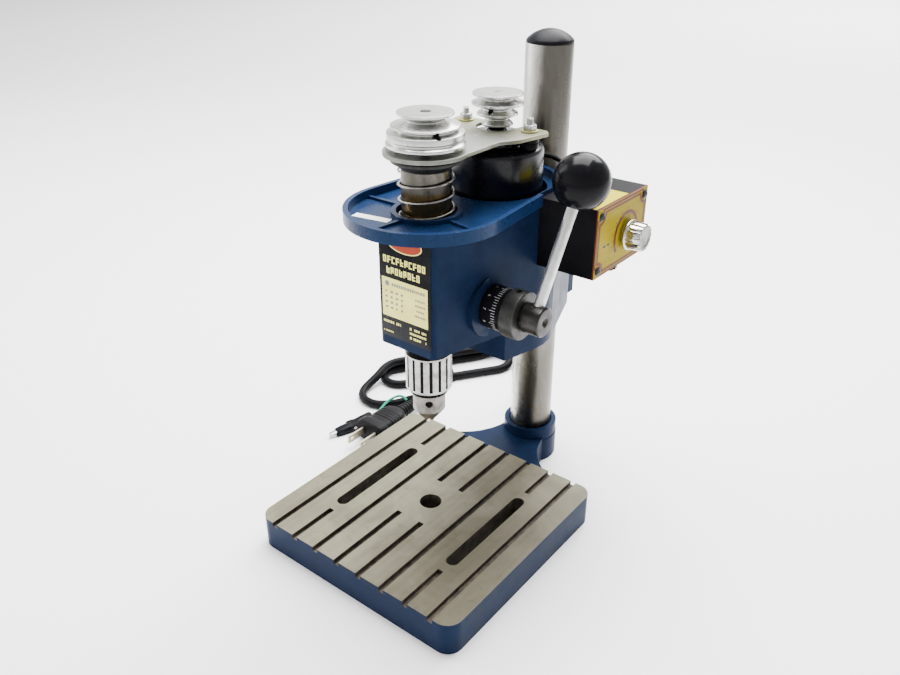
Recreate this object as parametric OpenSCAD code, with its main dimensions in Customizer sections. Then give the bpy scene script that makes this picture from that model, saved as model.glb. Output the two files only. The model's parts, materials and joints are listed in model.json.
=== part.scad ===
// Bench drill press: a grooved cast table, a sliding head on a round column, a rack-fed quill
// and a motor that rides on the quill's own plate.
// Millimetres. The origin is the spindle axis at the bench. +X is the feed lever's side,
// -Y is the front, +Y is the column's side and +Z is up.

/* [Table] */
// Width of the table
table_w = 160; // [156:1:168]
// Distance from the spindle axis to the table's front edge
table_front = 80; // [78:1:86]
// Distance from the spindle axis to the table's back edge
table_back = 77; // [75:1:79]
// Height of the table's top above the bench
table_h = 22.4; // [21:0.2:24]
// Diameter of the hole under the spindle
table_hole_d = 14.6; // [13:0.1:15]
// Width of the two clamping slots
slot_w = 8.5; // [7:0.1:9]
// Length of the two clamping slots, end to end
slot_len = 79; // [70:1:82]
// Spacing of the grooves in the top
groove_pitch = 18.4; // [18:0.1:18.8]
// Width of a groove
groove_w = 4; // [3:0.5:5]
// Depth of a groove
groove_depth = 3; // [2:0.5:4]

/* [Column] */
// Diameter of the column
column_d = 30; // [29:0.5:31]
// Distance from the spindle axis to the column axis
column_y = 120.3; // [119:0.1:121]
// Height of the column's top above the bench
column_top = 301.4; // [298:0.2:304]
// Diameter of the collar that holds the column
collar_d = 40; // [39:0.5:42]
// Height of the collar's top above the bench
collar_top = 28; // [27:0.5:30]

/* [Head] */
// Height of the head's front underside above the bench
head_bottom = 146; // [145:0.5:147]
// Height of the head's rear underside above the bench
head_rear_bottom = 127; // [125:0.5:129]
// Height of the tray's rim above the bench
tray_top = 229.5; // [229:0.1:230]
// Radius of the tray round the quill
tray_r = 46.5; // [45:0.5:48]
// Radius of the head round the motor
well_outer_r = 40; // [39.5:0.1:40.5]
// Width of the head's flat front
front_w = 41; // [40:0.5:42]

/* [Drive] */
// Diameter of the quill
quill_d = 28; // [27.9:0.05:28.1]
// How far the quill travels
quill_travel = 22; // [20:0.5:22]
// Distance from the spindle axis to the motor axis
motor_y = 66; // [65.5:0.1:66.5]
// Diameter of the motor
motor_d = 57; // [56:0.5:57.5]
// Diameter of the chuck's sleeve
chuck_d = 28.4; // [28:0.1:29]

/* [Feed] */
// Distance from the spindle axis to the feed shaft
feed_y = 22; // [22:0.1:22]
// Height of the feed shaft above the bench
feed_z = 168.3; // [168.3:0.1:168.3]
// Length of the lever's rod
lever_len = 78; // [74:1:82]
// Diameter of the lever's ball
ball_d = 32; // [30:1:33]

/* [Control box] */
// Width of the box along the head
box_w = 60; // [58:1:62]
// Height of the box
box_h = 42; // [40:1:44]

/* [Cord] */
// Diameter of the mains cord
cord_d = 7; // [6.5:0.5:7]

/* [Hidden] */
$fn = 48;

run_gap = 0.05;
e = 0.01;

// Table: grooves lie at odd half pitches, the slots at half the outer ones' spacing
groove_x = [for (i = [0:3]) (i + 0.5) * groove_pitch];
slot_x = groove_x[2] + 0.5;
slot_end = 7;
hole_land = 20.5;
corner_r = 10;
web_h = 20;
collar_step = 18;
relief = 3;
rim = 9;

// Head
clamp_r = 21.5;
clamp_top = 222;
lug_w = 24;
lug_back = 29.2;
lug_h = 80;
slit_w = 2;
clamp_bolt_out = 22;
clamp_bolt_z = 195;
front_r = 3.5;
front_x = front_w / 2 - front_r + 0.4;
flank_x = 38.9;
flank_y = 56.6;
tray_under = 222.5;
tray_floor = 224.5;
tray_wall = 3;
boss_top = 227;
boss_r = 20;
counterbore_r = 17.2;
spring_seat = 212;
spring_r = 15.3;
well_r = 31.5;
well_bottom = 152;
rear_face_y = 33;
feed_boss_r = 19;
feed_boss_x = 30;
pinion_bore_r = 10.6;
box_x0 = 38.6;
box_x1 = 76;
box_y0 = 85.85 - box_w / 2;
box_z0 = 206 - box_h / 2;
box_wall = 2;
panel_t = 1;
knob_d = 18.6;

// Quill and what rides on it
quill_bottom = 147;
plate_z = 258.3;
plate_t = 2.3;
boss_z = 250.8;
spindle_r = 5;
ear = [23, 66];
motor_top = 256.9;
motor_bottom = 178;
pinion_r = 9;
tooth = PI;
rack_depth = 2.25;

// Pulleys, from the bottom up: each rim's radius and its two edges, and the waists between the rims
spindle_rims = [[21.8, 263.4, 264.8], [21.1, 267.6, 270.6], [19, 273.2, 274.1], [15.5, 279.7, 280.9]];
spindle_waists = [[20.3, 266.2], [16.2, 271.9], [10.6, 276.7]];
motor_rims = [[9.4, 261.4, 262.5], [12.1, 267.4, 268.7], [15.4, 273.4, 274.7], [15, 278.8, 280.2]];
motor_waists = [[6.9, 265.3], [9, 270.9], [9.6, 276.8]];
pulley_bore_r = 3;
screw_turn = [-31, -80];

// Chuck
sleeve_z = [113.9, 138];
jaw_tilt = 15;
jaw_r = 2;
jaw_len = 20.5;
jaw_tip_z = 89;
jaw_gap = 0.08;
nose_z = 98;

// Lever
lever_x = 60;
lever_back = 18.2;
lever_out = 7;

// Cord: places on the bench are for the cord's centreline
cord_r = cord_d / 2;
floor_z = cord_r + 0.1;
plug_z = 9.6;
drop_way = [-0.618, 0.786];
function behind(r, z) = [drop_way[0] * r, column_y + drop_way[1] * r, z];
drop_path = [
    behind(40, 153), behind(44, 148.5), behind(49, 142), behind(53, 134), behind(56, 125),
    behind(57.5, 115), behind(58, 105), behind(58, 93), behind(58, 81), behind(58, 70), behind(58, 60),
];
run_path = [
    behind(58, 59.9), behind(58, 56), behind(58.5, 49), behind(60.5, 37), behind(65, 26), behind(72, 16), behind(81, 9),
    behind(92, floor_z + 1), [-66, 202, floor_z], [-73, 213, floor_z], [-79.5, 223.5, floor_z],
];
hank_ends = [[-146, 134], [-95, 208]];
hank_r = 17.5;
hank_h = 14.5;
tail_path = [
    [-152, 116, floor_z], [-157, 107, floor_z], [-155, 96, floor_z], [-147, 88, floor_z],
    [-136, 86, floor_z], [-126, 90, floor_z], [-119, 97, floor_z + 0.5], [-113, 104, floor_z + 2],
    [-107.5, 110.5, floor_z + 4.4], [-102.4, 110.5, floor_z + 5.8], [-100.5, 106, plug_z], [-100.5, 102.05, plug_z],
];
earth_path = [
    [-106, 98, 12.4], [-109.5, 98, 14], [-114, 97.5, 13.4], [-118.5, 95, 10.8], [-121.5, 89.5, 7.6],
    [-121.5, 82, 4.6], [-120, 73, 3.4],
];
lead_path = [
    [9.4, 95, 238], [15, 98, 238.5], [22, 99.2, 237.4], [29, 98, 235], [35, 95.5, 233.2], [40, 92.6, 232],
    [43.2, 90, 230.6], [44.2, 88.2, 228.2],
];

// ---------- shared shapes ----------

module tube(path, r, sides = 8) {
    n = len(path);
    side = frames(path, n);
    points = [
        for (i = [0:n - 1]) for (k = [0:sides - 1])
            path[i] + r * (cos(360 * k / sides) * side[i]
                + sin(360 * k / sides) * cross(ring_way(path, n, i), side[i]))
    ];
    faces = [
        [for (k = [0:sides - 1]) k],
        [for (k = [sides - 1:-1:0]) (n - 1) * sides + k],
        for (i = [0:n - 2]) for (k = [0:sides - 1])
            [i * sides + k, (i + 1) * sides + k, (i + 1) * sides + (k + 1) % sides, i * sides + (k + 1) % sides],
    ];
    polyhedron(points, faces);
}

// One side vector per ring, carried along the path so that the tube doesn't twist
function frames(path, n) = [
    for (
        i = 0,
        t = ring_way(path, n, 0),
        s = first_side(t);
        i < n;
        i = i + 1,
        t = ring_way(path, n, min(i, n - 1)),
        s = unit_of(s - (s * t) * t)
    ) s
];
function unit_of(v) = v / norm(v);
function ring_way(path, n, i) = unit_of(path[min(i + 1, n - 1)] - path[max(i - 1, 0)]);
function first_side(t) = unit_of(cross(t, abs(t[2]) > 0.9 ? [0, 1, 0] : [0, 0, 1]));

module at_column() {
    translate([0, column_y, 0]) children();
}

module at_motor() {
    translate([0, motor_y, 0]) children();
}

module at_feed() {
    translate([0, feed_y, feed_z]) rotate([0, 90, 0]) children();
}

module ring(outer, inner, z0, z1) {
    difference() {
        translate([0, 0, z0]) cylinder(r = outer, h = z1 - z0);
        translate([0, 0, z0 - 1]) cylinder(r = inner, h = z1 - z0 + 2);
    }
}

// Belly between two circles whose centres lie on the Y axis
module between(r0, y0, r1, y1) {
    turn = asin((r0 - r1) / (y1 - y0));
    polygon([
        [r0 * cos(turn), y0 + r0 * sin(turn)], [r1 * cos(turn), y1 + r1 * sin(turn)],
        [-r1 * cos(turn), y1 + r1 * sin(turn)], [-r0 * cos(turn), y0 + r0 * sin(turn)],
    ]);
}

// ---------- table ----------

module rounded_slab(x, y0, y1, r) {
    for (sx = [-1, 1]) for (cy = [y0 + r, y1 - r]) translate([sx * (x / 2 - r), cy]) circle(r = r);
    translate([-x / 2 + r, y0]) square([x - 2 * r, y1 - y0]);
    translate([-x / 2, y0 + r]) square([x, y1 - y0 - 2 * r]);
}

module groove(x, y0, y1) {
    translate([x - groove_w / 2, y0, table_h - groove_depth]) cube([groove_w, y1 - y0, groove_depth + 1]);
}

module grooves() {
    for (s = [-1, 1]) {
        for (i = [1, 3]) groove(s * groove_x[i], -table_front - 1, table_back + 1);
        groove(s * groove_x[0], -table_front - 1, -hole_land);
        groove(s * groove_x[0], hole_land, table_back + 1);
        groove(s * groove_x[2], -table_front - 1, -slot_len / 2 - slot_end);
        groove(s * groove_x[2], slot_len / 2 + slot_end, table_back + 1);
    }
}

module clamp_slot() {
    reach = slot_len / 2 - slot_w / 2;
    for (s = [-1, 1]) translate([0, s * reach, -1]) cylinder(d = slot_w, h = table_h + 2);
    translate([-slot_w / 2, -reach, -1]) cube([slot_w, 2 * reach, table_h + 2]);
}

// The painted web narrows in two hollow curves from the table's back edge to the collar
module web() {
    hollow_r = 46;
    hollow_x = 63;
    hollow_y = 118;
    difference() {
        translate([-48, table_back - 12, 0]) cube([96, column_y - table_back + 12, web_h]);
        for (s = [-1, 1]) {
            translate([s * hollow_x, hollow_y, -1]) cylinder(r = hollow_r, h = web_h + 2);
            translate([s * 40 - 22, 112, -1]) cube([44, 20, web_h + 2]);
        }
    }
}

module table_base() {
    color("dimgray") difference() {
        union() {
            linear_extrude(height = table_h) rounded_slab(table_w, -table_front, table_back, corner_r);
            web();
            at_column() cylinder(d = collar_d, h = collar_step);
            at_column() cylinder(d = collar_d - 1, h = collar_top);
        }
        grooves();
        for (s = [-1, 1]) translate([s * slot_x, 0, 0]) clamp_slot();
        translate([0, 0, -1]) cylinder(d = table_hole_d, h = table_h + 2);
        at_column() translate([0, 0, 2]) cylinder(d = column_d + 2 * run_gap, h = collar_top);
        at_column() translate([0, 0, collar_top - 1.2])
            cylinder(r1 = column_d / 2 + run_gap, r2 = column_d / 2 + 1.3, h = 1.21);
        at_column() translate([0, 0, collar_top - 17]) rotate([-90, 0, 0]) cylinder(d = 6, h = collar_d);
        relief_pocket();
    }
}

// The underside is hollowed a little, so that the casting stands on its rim and its bosses
module relief_pocket() {
    difference() {
        translate([0, 0, -1]) linear_extrude(height = relief + 1)
            rounded_slab(table_w - 2 * rim, -table_front + rim, table_back - rim, corner_r - 4);
        cylinder(r = 14, h = relief + 1);
        for (s = [-1, 1]) translate([s * slot_x - 9, -slot_len / 2 - 6, 0]) cube([18, slot_len + 12, relief + 1]);
    }
}

module collar_screw() {
    color("black") at_column() translate([0, 0, collar_top - 17]) rotate([-90, 0, 0]) difference() {
        translate([0, 0, column_d / 2 + 0.3]) cylinder(d = 5.9, h = 4.4);
        translate([0, 0, column_d / 2 + 2.7]) cylinder(d = 3, h = 3, $fn = 6);
    }
}

// ---------- column ----------

module column_tube() {
    color("silver") at_column() ring(column_d / 2, column_d / 2 - 3, 2, column_top);
}

module column_cap() {
    color("black") at_column() {
        translate([0, 0, column_top - 8]) cylinder(r = column_d / 2 - 3, h = 8.1);
        translate([0, 0, column_top]) intersection() {
            cylinder(r = column_d / 2 - 0.3, h = 8);
            translate([0, 0, 8 - 20]) sphere(r = 20, $fn = 96);
        }
    }
}

// ---------- head ----------

module head_outline() {
    translate([0, motor_y]) circle(r = well_outer_r, $fn = 96);
    translate([0, column_y]) circle(r = clamp_r, $fn = 96);
    between(well_outer_r, motor_y, clamp_r, column_y);
    for (s = [-1, 1]) translate([s * front_x, -20 + front_r]) circle(r = front_r);
    side = [flank_x - front_x, flank_y + 20 - front_r] / norm([flank_x - front_x, flank_y + 20 - front_r]);
    polygon([
        [front_x, -20], [front_x + front_r * side[1], -20 + front_r - front_r * side[0]],
        [flank_x, flank_y], [flank_x, motor_y], [-flank_x, motor_y], [-flank_x, flank_y],
        [-front_x - front_r * side[1], -20 + front_r - front_r * side[0]], [-front_x, -20],
    ]);
}

module tray_outline(r, shrink) {
    circle(r = r, $fn = 96);
    translate([0, motor_y]) circle(r = well_outer_r - shrink, $fn = 96);
    between(r, 0, well_outer_r - shrink, motor_y);
}

module tray_ribs() {
    for (a = [180, 263, 350]) rotate([0, 0, a]) translate([boss_r - 1, -1.2, tray_floor - 1])
        cube([tray_r - tray_wall - boss_r + 1.5, 2.4, 2.5]);
}

module head_solid() {
    translate([0, 0, head_bottom]) linear_extrude(height = tray_floor - head_bottom) head_outline();
    translate([0, 0, head_rear_bottom]) linear_extrude(height = head_bottom - head_rear_bottom + 1)
        intersection() {
            head_outline();
            translate([-60, rear_face_y]) square([120, 120]);
        }
    translate([0, 0, tray_under]) linear_extrude(height = tray_top - tray_under) tray_outline(tray_r, 0);
    at_feed() cylinder(r = feed_boss_r, h = feed_boss_x);
    at_feed() translate([0, 0, -feed_boss_x]) cylinder(r = 12, h = feed_boss_x);
    translate([-lug_w / 2, column_y + 12, head_rear_bottom]) cube([lug_w, lug_back - 12, lug_h]);
    gland_place() translate([0, 0, -10]) cylinder(r = 9, h = 12);
}

module head_pockets() {
    difference() {
        translate([0, 0, tray_floor]) linear_extrude(height = 20) tray_outline(tray_r - tray_wall, tray_wall);
        cylinder(r = boss_r, h = boss_top);
        tray_ribs();
    }
    translate([0, 0, boss_top]) cylinder(r = boss_r + 1, h = 10);
    translate([0, 0, spring_seat]) cylinder(r = counterbore_r, h = 40);
    cylinder(r = quill_d / 2 + run_gap, h = 300);
    at_motor() translate([0, 0, well_bottom]) cylinder(r = well_r, h = 100);
    at_column() cylinder(r = column_d / 2 + run_gap, h = 300);
    at_feed() translate([0, 0, -7]) cylinder(r = pinion_bore_r, h = 60);
    at_feed() translate([0, 0, feed_boss_x]) cylinder(r = 13.3, h = 12);
    at_feed() translate([0, 0, -60]) cylinder(r = 7, h = 60);
    translate([-slit_w / 2, column_y, head_rear_bottom - 1]) cube([slit_w, lug_back + 1, 120]);
    clamp_bolt_place() translate([0, 0, -lug_w]) cylinder(d = 8.4, h = 2 * lug_w);
    translate([box_x0, box_y0 - 0.5, box_z0 - 0.5]) cube([20, box_w + 1, box_h + 20]);
    translate([0, -quill_d / 2 - 12, feed_z + 20]) rotate([-90, 0, 0]) cylinder(d = 5, h = 20);
    gland_place() translate([0, 0, -20]) cylinder(r = 5, h = 30);
    gland_place() translate([0, 0, 2]) cylinder(r = 8.4, h = 30);
    for (s = [0, 180]) clamp_bolt_place() rotate([s, 0, 0]) translate([0, 0, lug_w / 2]) cylinder(d = 17, h = 9);
}

module head_casting() {
    color([0.12, 0.2, 0.36]) difference() {
        head_solid();
        head_pockets();
    }
}

module label_plate() {
    color("black") translate([-18.5, -20.6, 152]) cube([37.5, 0.6, 66]);
}

module tray_sticker() {
    color("white") translate([-19.2, -24.2, tray_floor]) rotate([0, 0, 10]) translate([-11.5, -2.8, 0]) cube([23, 5.6, 0.2]);
}

module clamp_bolt_place() {
    translate([0, column_y + clamp_bolt_out, clamp_bolt_z]) rotate([0, 90, 0]) children();
}

module clamp_bolt() {
    color("black") clamp_bolt_place() {
        translate([0, 0, -lug_w / 2 - 8]) cylinder(d = 8, h = lug_w + 8.1);
        translate([0, 0, lug_w / 2]) cylinder(d = 15, h = 5.3, $fn = 6);
    }
}

module clamp_nut() {
    color("silver") clamp_bolt_place() difference() {
        translate([0, 0, -lug_w / 2 - 6.5]) cylinder(d = 15, h = 6.5, $fn = 6);
        translate([0, 0, -lug_w]) cylinder(d = 8.02, h = lug_w);
    }
}

module feed_bushes() {
    color("darkgoldenrod") at_feed() {
        ring(pinion_bore_r, 5 + run_gap, 8, feed_boss_x - 1);
        ring(7, 4 + run_gap, -28, -8);
    }
}

module feed_scale_ring() {
    color("black") at_feed() ring(13, 6, feed_boss_x, 44);
}

module quill_key_screw() {
    color("black") translate([0, -quill_d / 2 - 5.9, feed_z + 20]) rotate([-90, 0, 0]) {
        cylinder(d = 4.9, h = 4.2);
        cylinder(d = 2.8, h = 7.4);
    }
}

// ---------- control box ----------

module box_space(grow) {
    translate([box_x0 - grow, box_y0 - grow, box_z0 - grow])
        cube([box_x1 - box_x0 + 2 * grow, box_w + 2 * grow, box_h + 2 * grow]);
}

module control_box() {
    color([0.08, 0.08, 0.09]) difference() {
        box_space(0);
        translate([box_x0 + box_wall, box_y0 + box_wall, box_z0 + box_wall])
            cube([60, box_w - 2 * box_wall, box_h - 2 * box_wall]);
        translate([68, 88, box_z0 - 1]) cylinder(r = 5, h = 10);
        translate([box_x0 - 1, 92, box_z0 + box_h - 12]) rotate([0, 90, 0]) cylinder(r = 3, h = 5);
    }
}

module panel_places() {
    for (y = [4.2, box_w - 4.2]) for (z = [4.6, box_h - 4.6]) translate([box_x1, box_y0 + y, box_z0 + z])
        rotate([0, 90, 0]) children();
}

module control_panel() {
    color([0.78, 0.66, 0.38]) difference() {
        translate([box_x1, box_y0, box_z0]) cube([panel_t, box_w, box_h]);
        panel_places() translate([0, 0, -1]) cylinder(d = 3.2, h = 4);
        knob_place() translate([0, 0, -2]) cylinder(d = 7.2, h = 4);
    }
    color([0.2, 0.2, 0.2]) for (y = [2, box_w - 8]) for (z = [2, box_h - 8])
        difference() {
            translate([box_x1 - 10, box_y0 + y, box_z0 + z]) cube([10, 6, 6]);
            panel_places() translate([0, 0, -20]) cylinder(d = 3.2, h = 30);
        }
}

module panel_screws() {
    color("silver") panel_places() difference() {
        union() {
            translate([0, 0, panel_t]) cylinder(d1 = 5.6, d2 = 4.4, h = 1.4);
            translate([0, 0, -7]) cylinder(d = 3, h = 8.1);
        }
        for (a = [0, 90]) rotate([0, 0, a]) translate([-1.6, -0.35, panel_t + 0.7]) cube([3.2, 0.7, 2]);
    }
}

module box_sticker() {
    color("gold") translate([53, box_y0 + 0.8, box_z0 + box_h]) cube([22.4, 37, 0.2]);
}

module fuse_holder() {
    color("black") translate([68, 88, 0]) {
        ring(7.5, 4, box_z0 - 1.5, box_z0);
        translate([0, 0, box_z0 - 5]) cylinder(r = 6.2, h = 3.5);
        translate([0, 0, box_z0 - 2]) cylinder(r = 4.9, h = 12);
    }
}

module knob_place() {
    translate([box_x1 + panel_t, box_y0 + box_w / 2 + 5.8, box_z0 + box_h / 2 - 2.6]) rotate([0, 90, 0]) children();
}

module speed_control() {
    color("silver") knob_place() difference() {
        union() {
            translate([0, 0, -12]) cylinder(d = 17, h = 9);
            translate([0, 0, -4]) cylinder(d = 7, h = 5);
            cylinder(d = 10, h = 1.6, $fn = 6);
        }
        translate([0, 0, -8]) cylinder(d = 6.2, h = 20);
    }
}

module circuit_board() {
    color("darkgreen") translate([box_x0 + 5, box_y0 + 5, box_z0 + 6]) cube([1.6, box_w - 14, box_h - 12]);
    color("dimgray") translate([box_x0 + 6.5, box_y0 + 12, box_z0 + 12]) cube([9, 12, 14]);
    color("dimgray") translate([box_x0 + 6.5, box_y0 + 30, box_z0 + 14]) cube([12, 14, 4]);
}

module gland_place() {
    translate(behind(25, 168)) rotate([0, 0, atan2(drop_way[1], drop_way[0])]) rotate([0, 135, 0]) children();
}

module cord_gland() {
    color("black") gland_place() difference() {
        union() {
            translate([0, 0, -3]) cylinder(r = 4.95, h = 6);
            translate([0, 0, 2]) cylinder(r = 8, h = 3);
            translate([0, 0, 5]) cylinder(r1 = 6.4, r2 = 4.6, h = 16.2);
        }
        translate([0, 0, -4]) cylinder(r = 3, h = 10);
    }
}

module motor_lead() {
    color("black") tube(lead_path, 1.6);
}

// ---------- quill ----------

module quill_tube() {
    teeth = 13;
    color([0.62, 0.53, 0.3]) difference() {
        translate([0, 0, quill_bottom]) cylinder(d = quill_d, h = boss_z - quill_bottom);
        translate([0, 0, quill_bottom - 1]) cylinder(r = 8, h = 200);
        for (z = [quill_bottom, boss_z]) translate([0, 0, z - 8]) cylinder(r = 10, h = 16);
        for (i = [0:teeth - 1]) translate([-6, quill_d / 2 - rack_depth, feed_z + (i - 3) * tooth])
            rotate([90, 0, 90]) linear_extrude(height = 12) rack_gap();
        translate([-1.7, -quill_d / 2 - 1, feed_z + 17]) cube([3.4, 3, quill_travel + 6]);
    }
}

// One gap between two rack teeth, in the plane of the pinion: flanks lean by the pressure angle
module rack_gap() {
    lean = tan(20);
    root = tooth / 4 - 1.25 * lean + 0.1;
    top = root + (rack_depth + 2) * lean;
    polygon([[0, -root], [rack_depth + 2, -top], [rack_depth + 2, top], [0, root]]);
}

module bearing(z) {
    translate([0, 0, z]) difference() {
        cylinder(r = 9.9, h = 7.5);
        translate([0, 0, -1]) cylinder(r = spindle_r + run_gap, h = 10);
    }
}

module quill_bearings() {
    color("silver") {
        bearing(quill_bottom + 0.3);
        bearing(boss_z - 7.8);
    }
}

module bearing_boss() {
    color([0.3, 0.31, 0.32]) difference() {
        union() {
            translate([0, 0, boss_z]) cylinder(r1 = 14.5, r2 = 19.6, h = 4);
            translate([0, 0, boss_z + 4]) cylinder(r = 19.6, h = 2);
            translate([0, 0, boss_z + 5.9]) cylinder(r = 18.6, h = plate_z - boss_z - 5.9);
        }
        translate([0, 0, boss_z - 1]) cylinder(r = 8, h = 20);
    }
}

module plate_outline() {
    half = 22.5;
    difference() {
        union() {
            circle(r = half + 1.1, $fn = 96);
            polygon([[-half, 0], [half, 0], [half, 37], [28.8, 47], [33.2, 70], [30, 74], [12, 74], [12, 66],
                [-12, 66], [-12, 74], [-30, 74], [-33.2, 70], [-28.8, 47], [-half, 37]]);
        }
        translate([0, motor_y]) circle(r = 12.5);
        translate([-12.5, motor_y]) square([25, 20]);
        for (s = [-1, 1]) translate([s * ear[0], ear[1]]) circle(d = 4.3);
        circle(r = 8);
    }
}

module motor_plate() {
    color([0.45, 0.46, 0.44]) translate([0, 0, plate_z]) linear_extrude(height = plate_t) plate_outline();
}

module at_ears() {
    for (s = [-1, 1]) translate([s * ear[0], ear[1], 0]) children();
}

module motor_can() {
    color([0.1, 0.1, 0.12]) difference() {
        union() {
            at_motor() translate([0, 0, motor_bottom + 9]) cylinder(d = motor_d, h = 62);
            at_motor() translate([0, 0, motor_bottom + 70]) cylinder(d1 = motor_d, d2 = motor_d - 10, h = 3);
            at_motor() cylinder(r = 16.5, h = motor_top - 0.5);
            at_motor() cylinder(r = 6.5, h = motor_top - 1);
            at_motor() translate([0, 0, motor_top - 1]) cylinder(r1 = 6.5, r2 = 3.6, h = 4.8);
        }
        at_motor() cylinder(d = motor_d - 5, h = motor_bottom + 69);
        at_motor() cylinder(r = 2.5 + run_gap, h = 300);
        at_motor() cylinder(r = 3, h = motor_top + 2);
        at_ears() translate([0, 0, motor_bottom + 69.1]) cylinder(r = 2.1, h = 10);
    }
}

module motor_end_cap() {
    color([0.1, 0.1, 0.12]) at_motor() difference() {
        translate([0, 0, motor_bottom]) cylinder(d = motor_d - 1, h = 9);
        translate([0, 0, motor_bottom + 4]) cylinder(d = motor_d - 9, h = 9);
        translate([0, 0, motor_bottom + 1.5]) cylinder(r = 2.5 + run_gap, h = 9);
    }
}

module motor_magnets() {
    color("dimgray") at_motor() difference() {
        ring(motor_d / 2 - 2.5, motor_d / 2 - 8, motor_bottom + 18, motor_bottom + 60);
        for (a = [0, 90]) rotate([0, 0, a]) if (a == 0) translate([-4, -40, 0]) cube([8, 80, 300]);
    }
}

module plate_nuts() {
    color("silver") at_ears() {
        translate([0, 0, motor_bottom + 69.2]) cylinder(d = 4, h = plate_z + 10.2 - motor_bottom - 69.2);
        translate([0, 0, plate_z + plate_t + 1]) cylinder(d = 8.1, h = 3.4, $fn = 6);
    }
}

module plate_washers() {
    color([0.6, 0.58, 0.3]) at_ears() ring(5, 2.05, plate_z + plate_t, plate_z + plate_t + 1);
}

module rubber_bushes() {
    color([0.05, 0.05, 0.05]) at_ears() ring(5.5, 2.05, motor_bottom + 73, plate_z);
}

module return_spring() {
    turns = 4.5;
    wire = 0.7;
    seat = spring_seat + wire;
    rise = boss_z - wire - seat;
    steps = 90;
    color("silver") tube([
        for (i = [0:steps]) let (t = i / steps, a = 360 * turns * t)
            [spring_r * cos(a), spring_r * sin(a), seat + 0.05 + (rise - 0.1) * t]
    ], wire, 6);
}

// ---------- spindle ----------

module spindle_shaft() {
    color("silver") {
        translate([0, 0, 133]) cylinder(r = spindle_r, h = 128);
        translate([0, 0, 260]) cylinder(r = pulley_bore_r, h = 19.4);
        translate([0, 0, quill_bottom + 8]) cylinder(r = 6.5, h = 3);
    }
}

// A stepped pulley: each groove is a V cut between two rims
module step_pulley(rims, waists, bore) {
    last = len(rims) - 1;
    flat = 0.35;
    rotate_extrude($fn = 96) polygon([
        [bore, rims[0][1]],
        for (i = [0:last]) each [
            [rims[i][0], rims[i][1]],
            [rims[i][0], rims[i][2]],
            if (i < last) [waists[i][0], waists[i][1] - flat],
            if (i < last) [waists[i][0], waists[i][1] + flat],
        ],
        [bore, rims[last][2]],
    ]);
}

module pulley_screw_place(waist, turn) {
    translate([0, 0, waist[1]]) rotate([0, 0, turn]) rotate([0, 90, 0]) children();
}

module spindle_pulley() {
    color([0.75, 0.75, 0.76]) difference() {
        step_pulley(spindle_rims, spindle_waists, pulley_bore_r);
        pulley_screw_place(spindle_waists[1], screw_turn[0]) cylinder(d = 3.6, h = 30);
    }
}

module spindle_pulley_screw() {
    color("black") pulley_screw_place(spindle_waists[1], screw_turn[0]) difference() {
        translate([0, 0, pulley_bore_r]) cylinder(d = 3.5, h = 7);
        translate([0, 0, pulley_bore_r + 4]) cylinder(d = 2, h = 4, $fn = 6);
    }
}

module jaw_place(i) {
    rotate([0, 0, 120 * i + 9]) translate([0, 0, jaw_tip_z]) translate([1.4, 0, 0]) rotate([0, jaw_tilt, 0]) children();
}

module chuck_body() {
    key_z = 105;
    color([0.7, 0.7, 0.7]) difference() {
        union() {
            translate([0, 0, nose_z]) cylinder(r = 10, h = 141.5 - nose_z);
            translate([0, 0, nose_z - 6]) cylinder(r1 = 5.6, r2 = 10, h = 6);
            translate([0, 0, 139]) cylinder(r = 12.4, h = 2.5);
            translate([0, 0, sleeve_z[0] - 3.1]) cylinder(r = 11.75, h = 2.2);
        }
        translate([0, 0, 132.9]) cylinder(r = spindle_r, h = 20);
        translate([0, 0, 80]) cylinder(r = 3.4, h = 45);
        for (i = [0:2]) {
            jaw_place(i) translate([0, 0, -12]) cylinder(r = jaw_r + 0.15, h = jaw_len + 30);
            rotate([0, 0, 120 * i - 51]) translate([5, 0, key_z]) rotate([0, 90, 0]) cylinder(d = 4.6, h = 10);
        }
    }
}

module jaw(i) {
    color([0.5, 0.42, 0.34]) difference() {
        jaw_place(i) translate([0, 0, -1]) cylinder(r = jaw_r, h = jaw_len);
        translate([0, 0, jaw_tip_z - 20]) cube([20, 20, 40], center = true);
        rotate([0, 0, 120 * i + 9]) for (s = [-1, 1]) rotate([0, 0, s * 60])
            translate([-20, s > 0 ? -jaw_gap : jaw_gap - 20, jaw_tip_z - 5]) cube([40, 20, 60]);
    }
}

module chuck_jaw_1() jaw(0);
module chuck_jaw_2() jaw(1);
module chuck_jaw_3() jaw(2);

module chuck_sleeve() {
    flutes = 16;
    color([0.72, 0.72, 0.73]) difference() {
        union() {
            translate([0, 0, sleeve_z[0]]) cylinder(d = chuck_d, h = sleeve_z[1] - sleeve_z[0], $fn = 96);
            translate([0, 0, sleeve_z[1]]) cylinder(r1 = chuck_d / 2 + 0.2, r2 = 13.2, h = 3, $fn = 96);
            translate([0, 0, sleeve_z[0] - 3.1]) cylinder(r1 = 12.2, r2 = 13.6, h = 3.2);
        }
        for (i = [0:flutes - 1]) rotate([0, 0, 360 / flutes * i]) translate([chuck_d / 2 + 0.5, 0, sleeve_z[0] + 1.5])
            cylinder(r = 1.15, h = sleeve_z[1] - sleeve_z[0] - 2.5, $fn = 16);
        for (i = [0:35]) rotate([0, 0, 10 * i]) translate([12.2, -0.55, sleeve_z[0] - 4]) cube([4, 1.1, 3.2]);
        translate([0, 0, 100]) cylinder(r = 10.05, h = 60);
        translate([0, 0, 100]) cylinder(r = 11.8, h = 36.5);
        translate([0, 0, 138.9]) cylinder(r = 12.5, h = 10);
    }
}

// ---------- motor rotor ----------

module motor_shaft() {
    color("silver") at_motor() translate([0, 0, motor_bottom + 2]) cylinder(r = 2.5, h = 279.9 - motor_bottom - 2);
}

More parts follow.
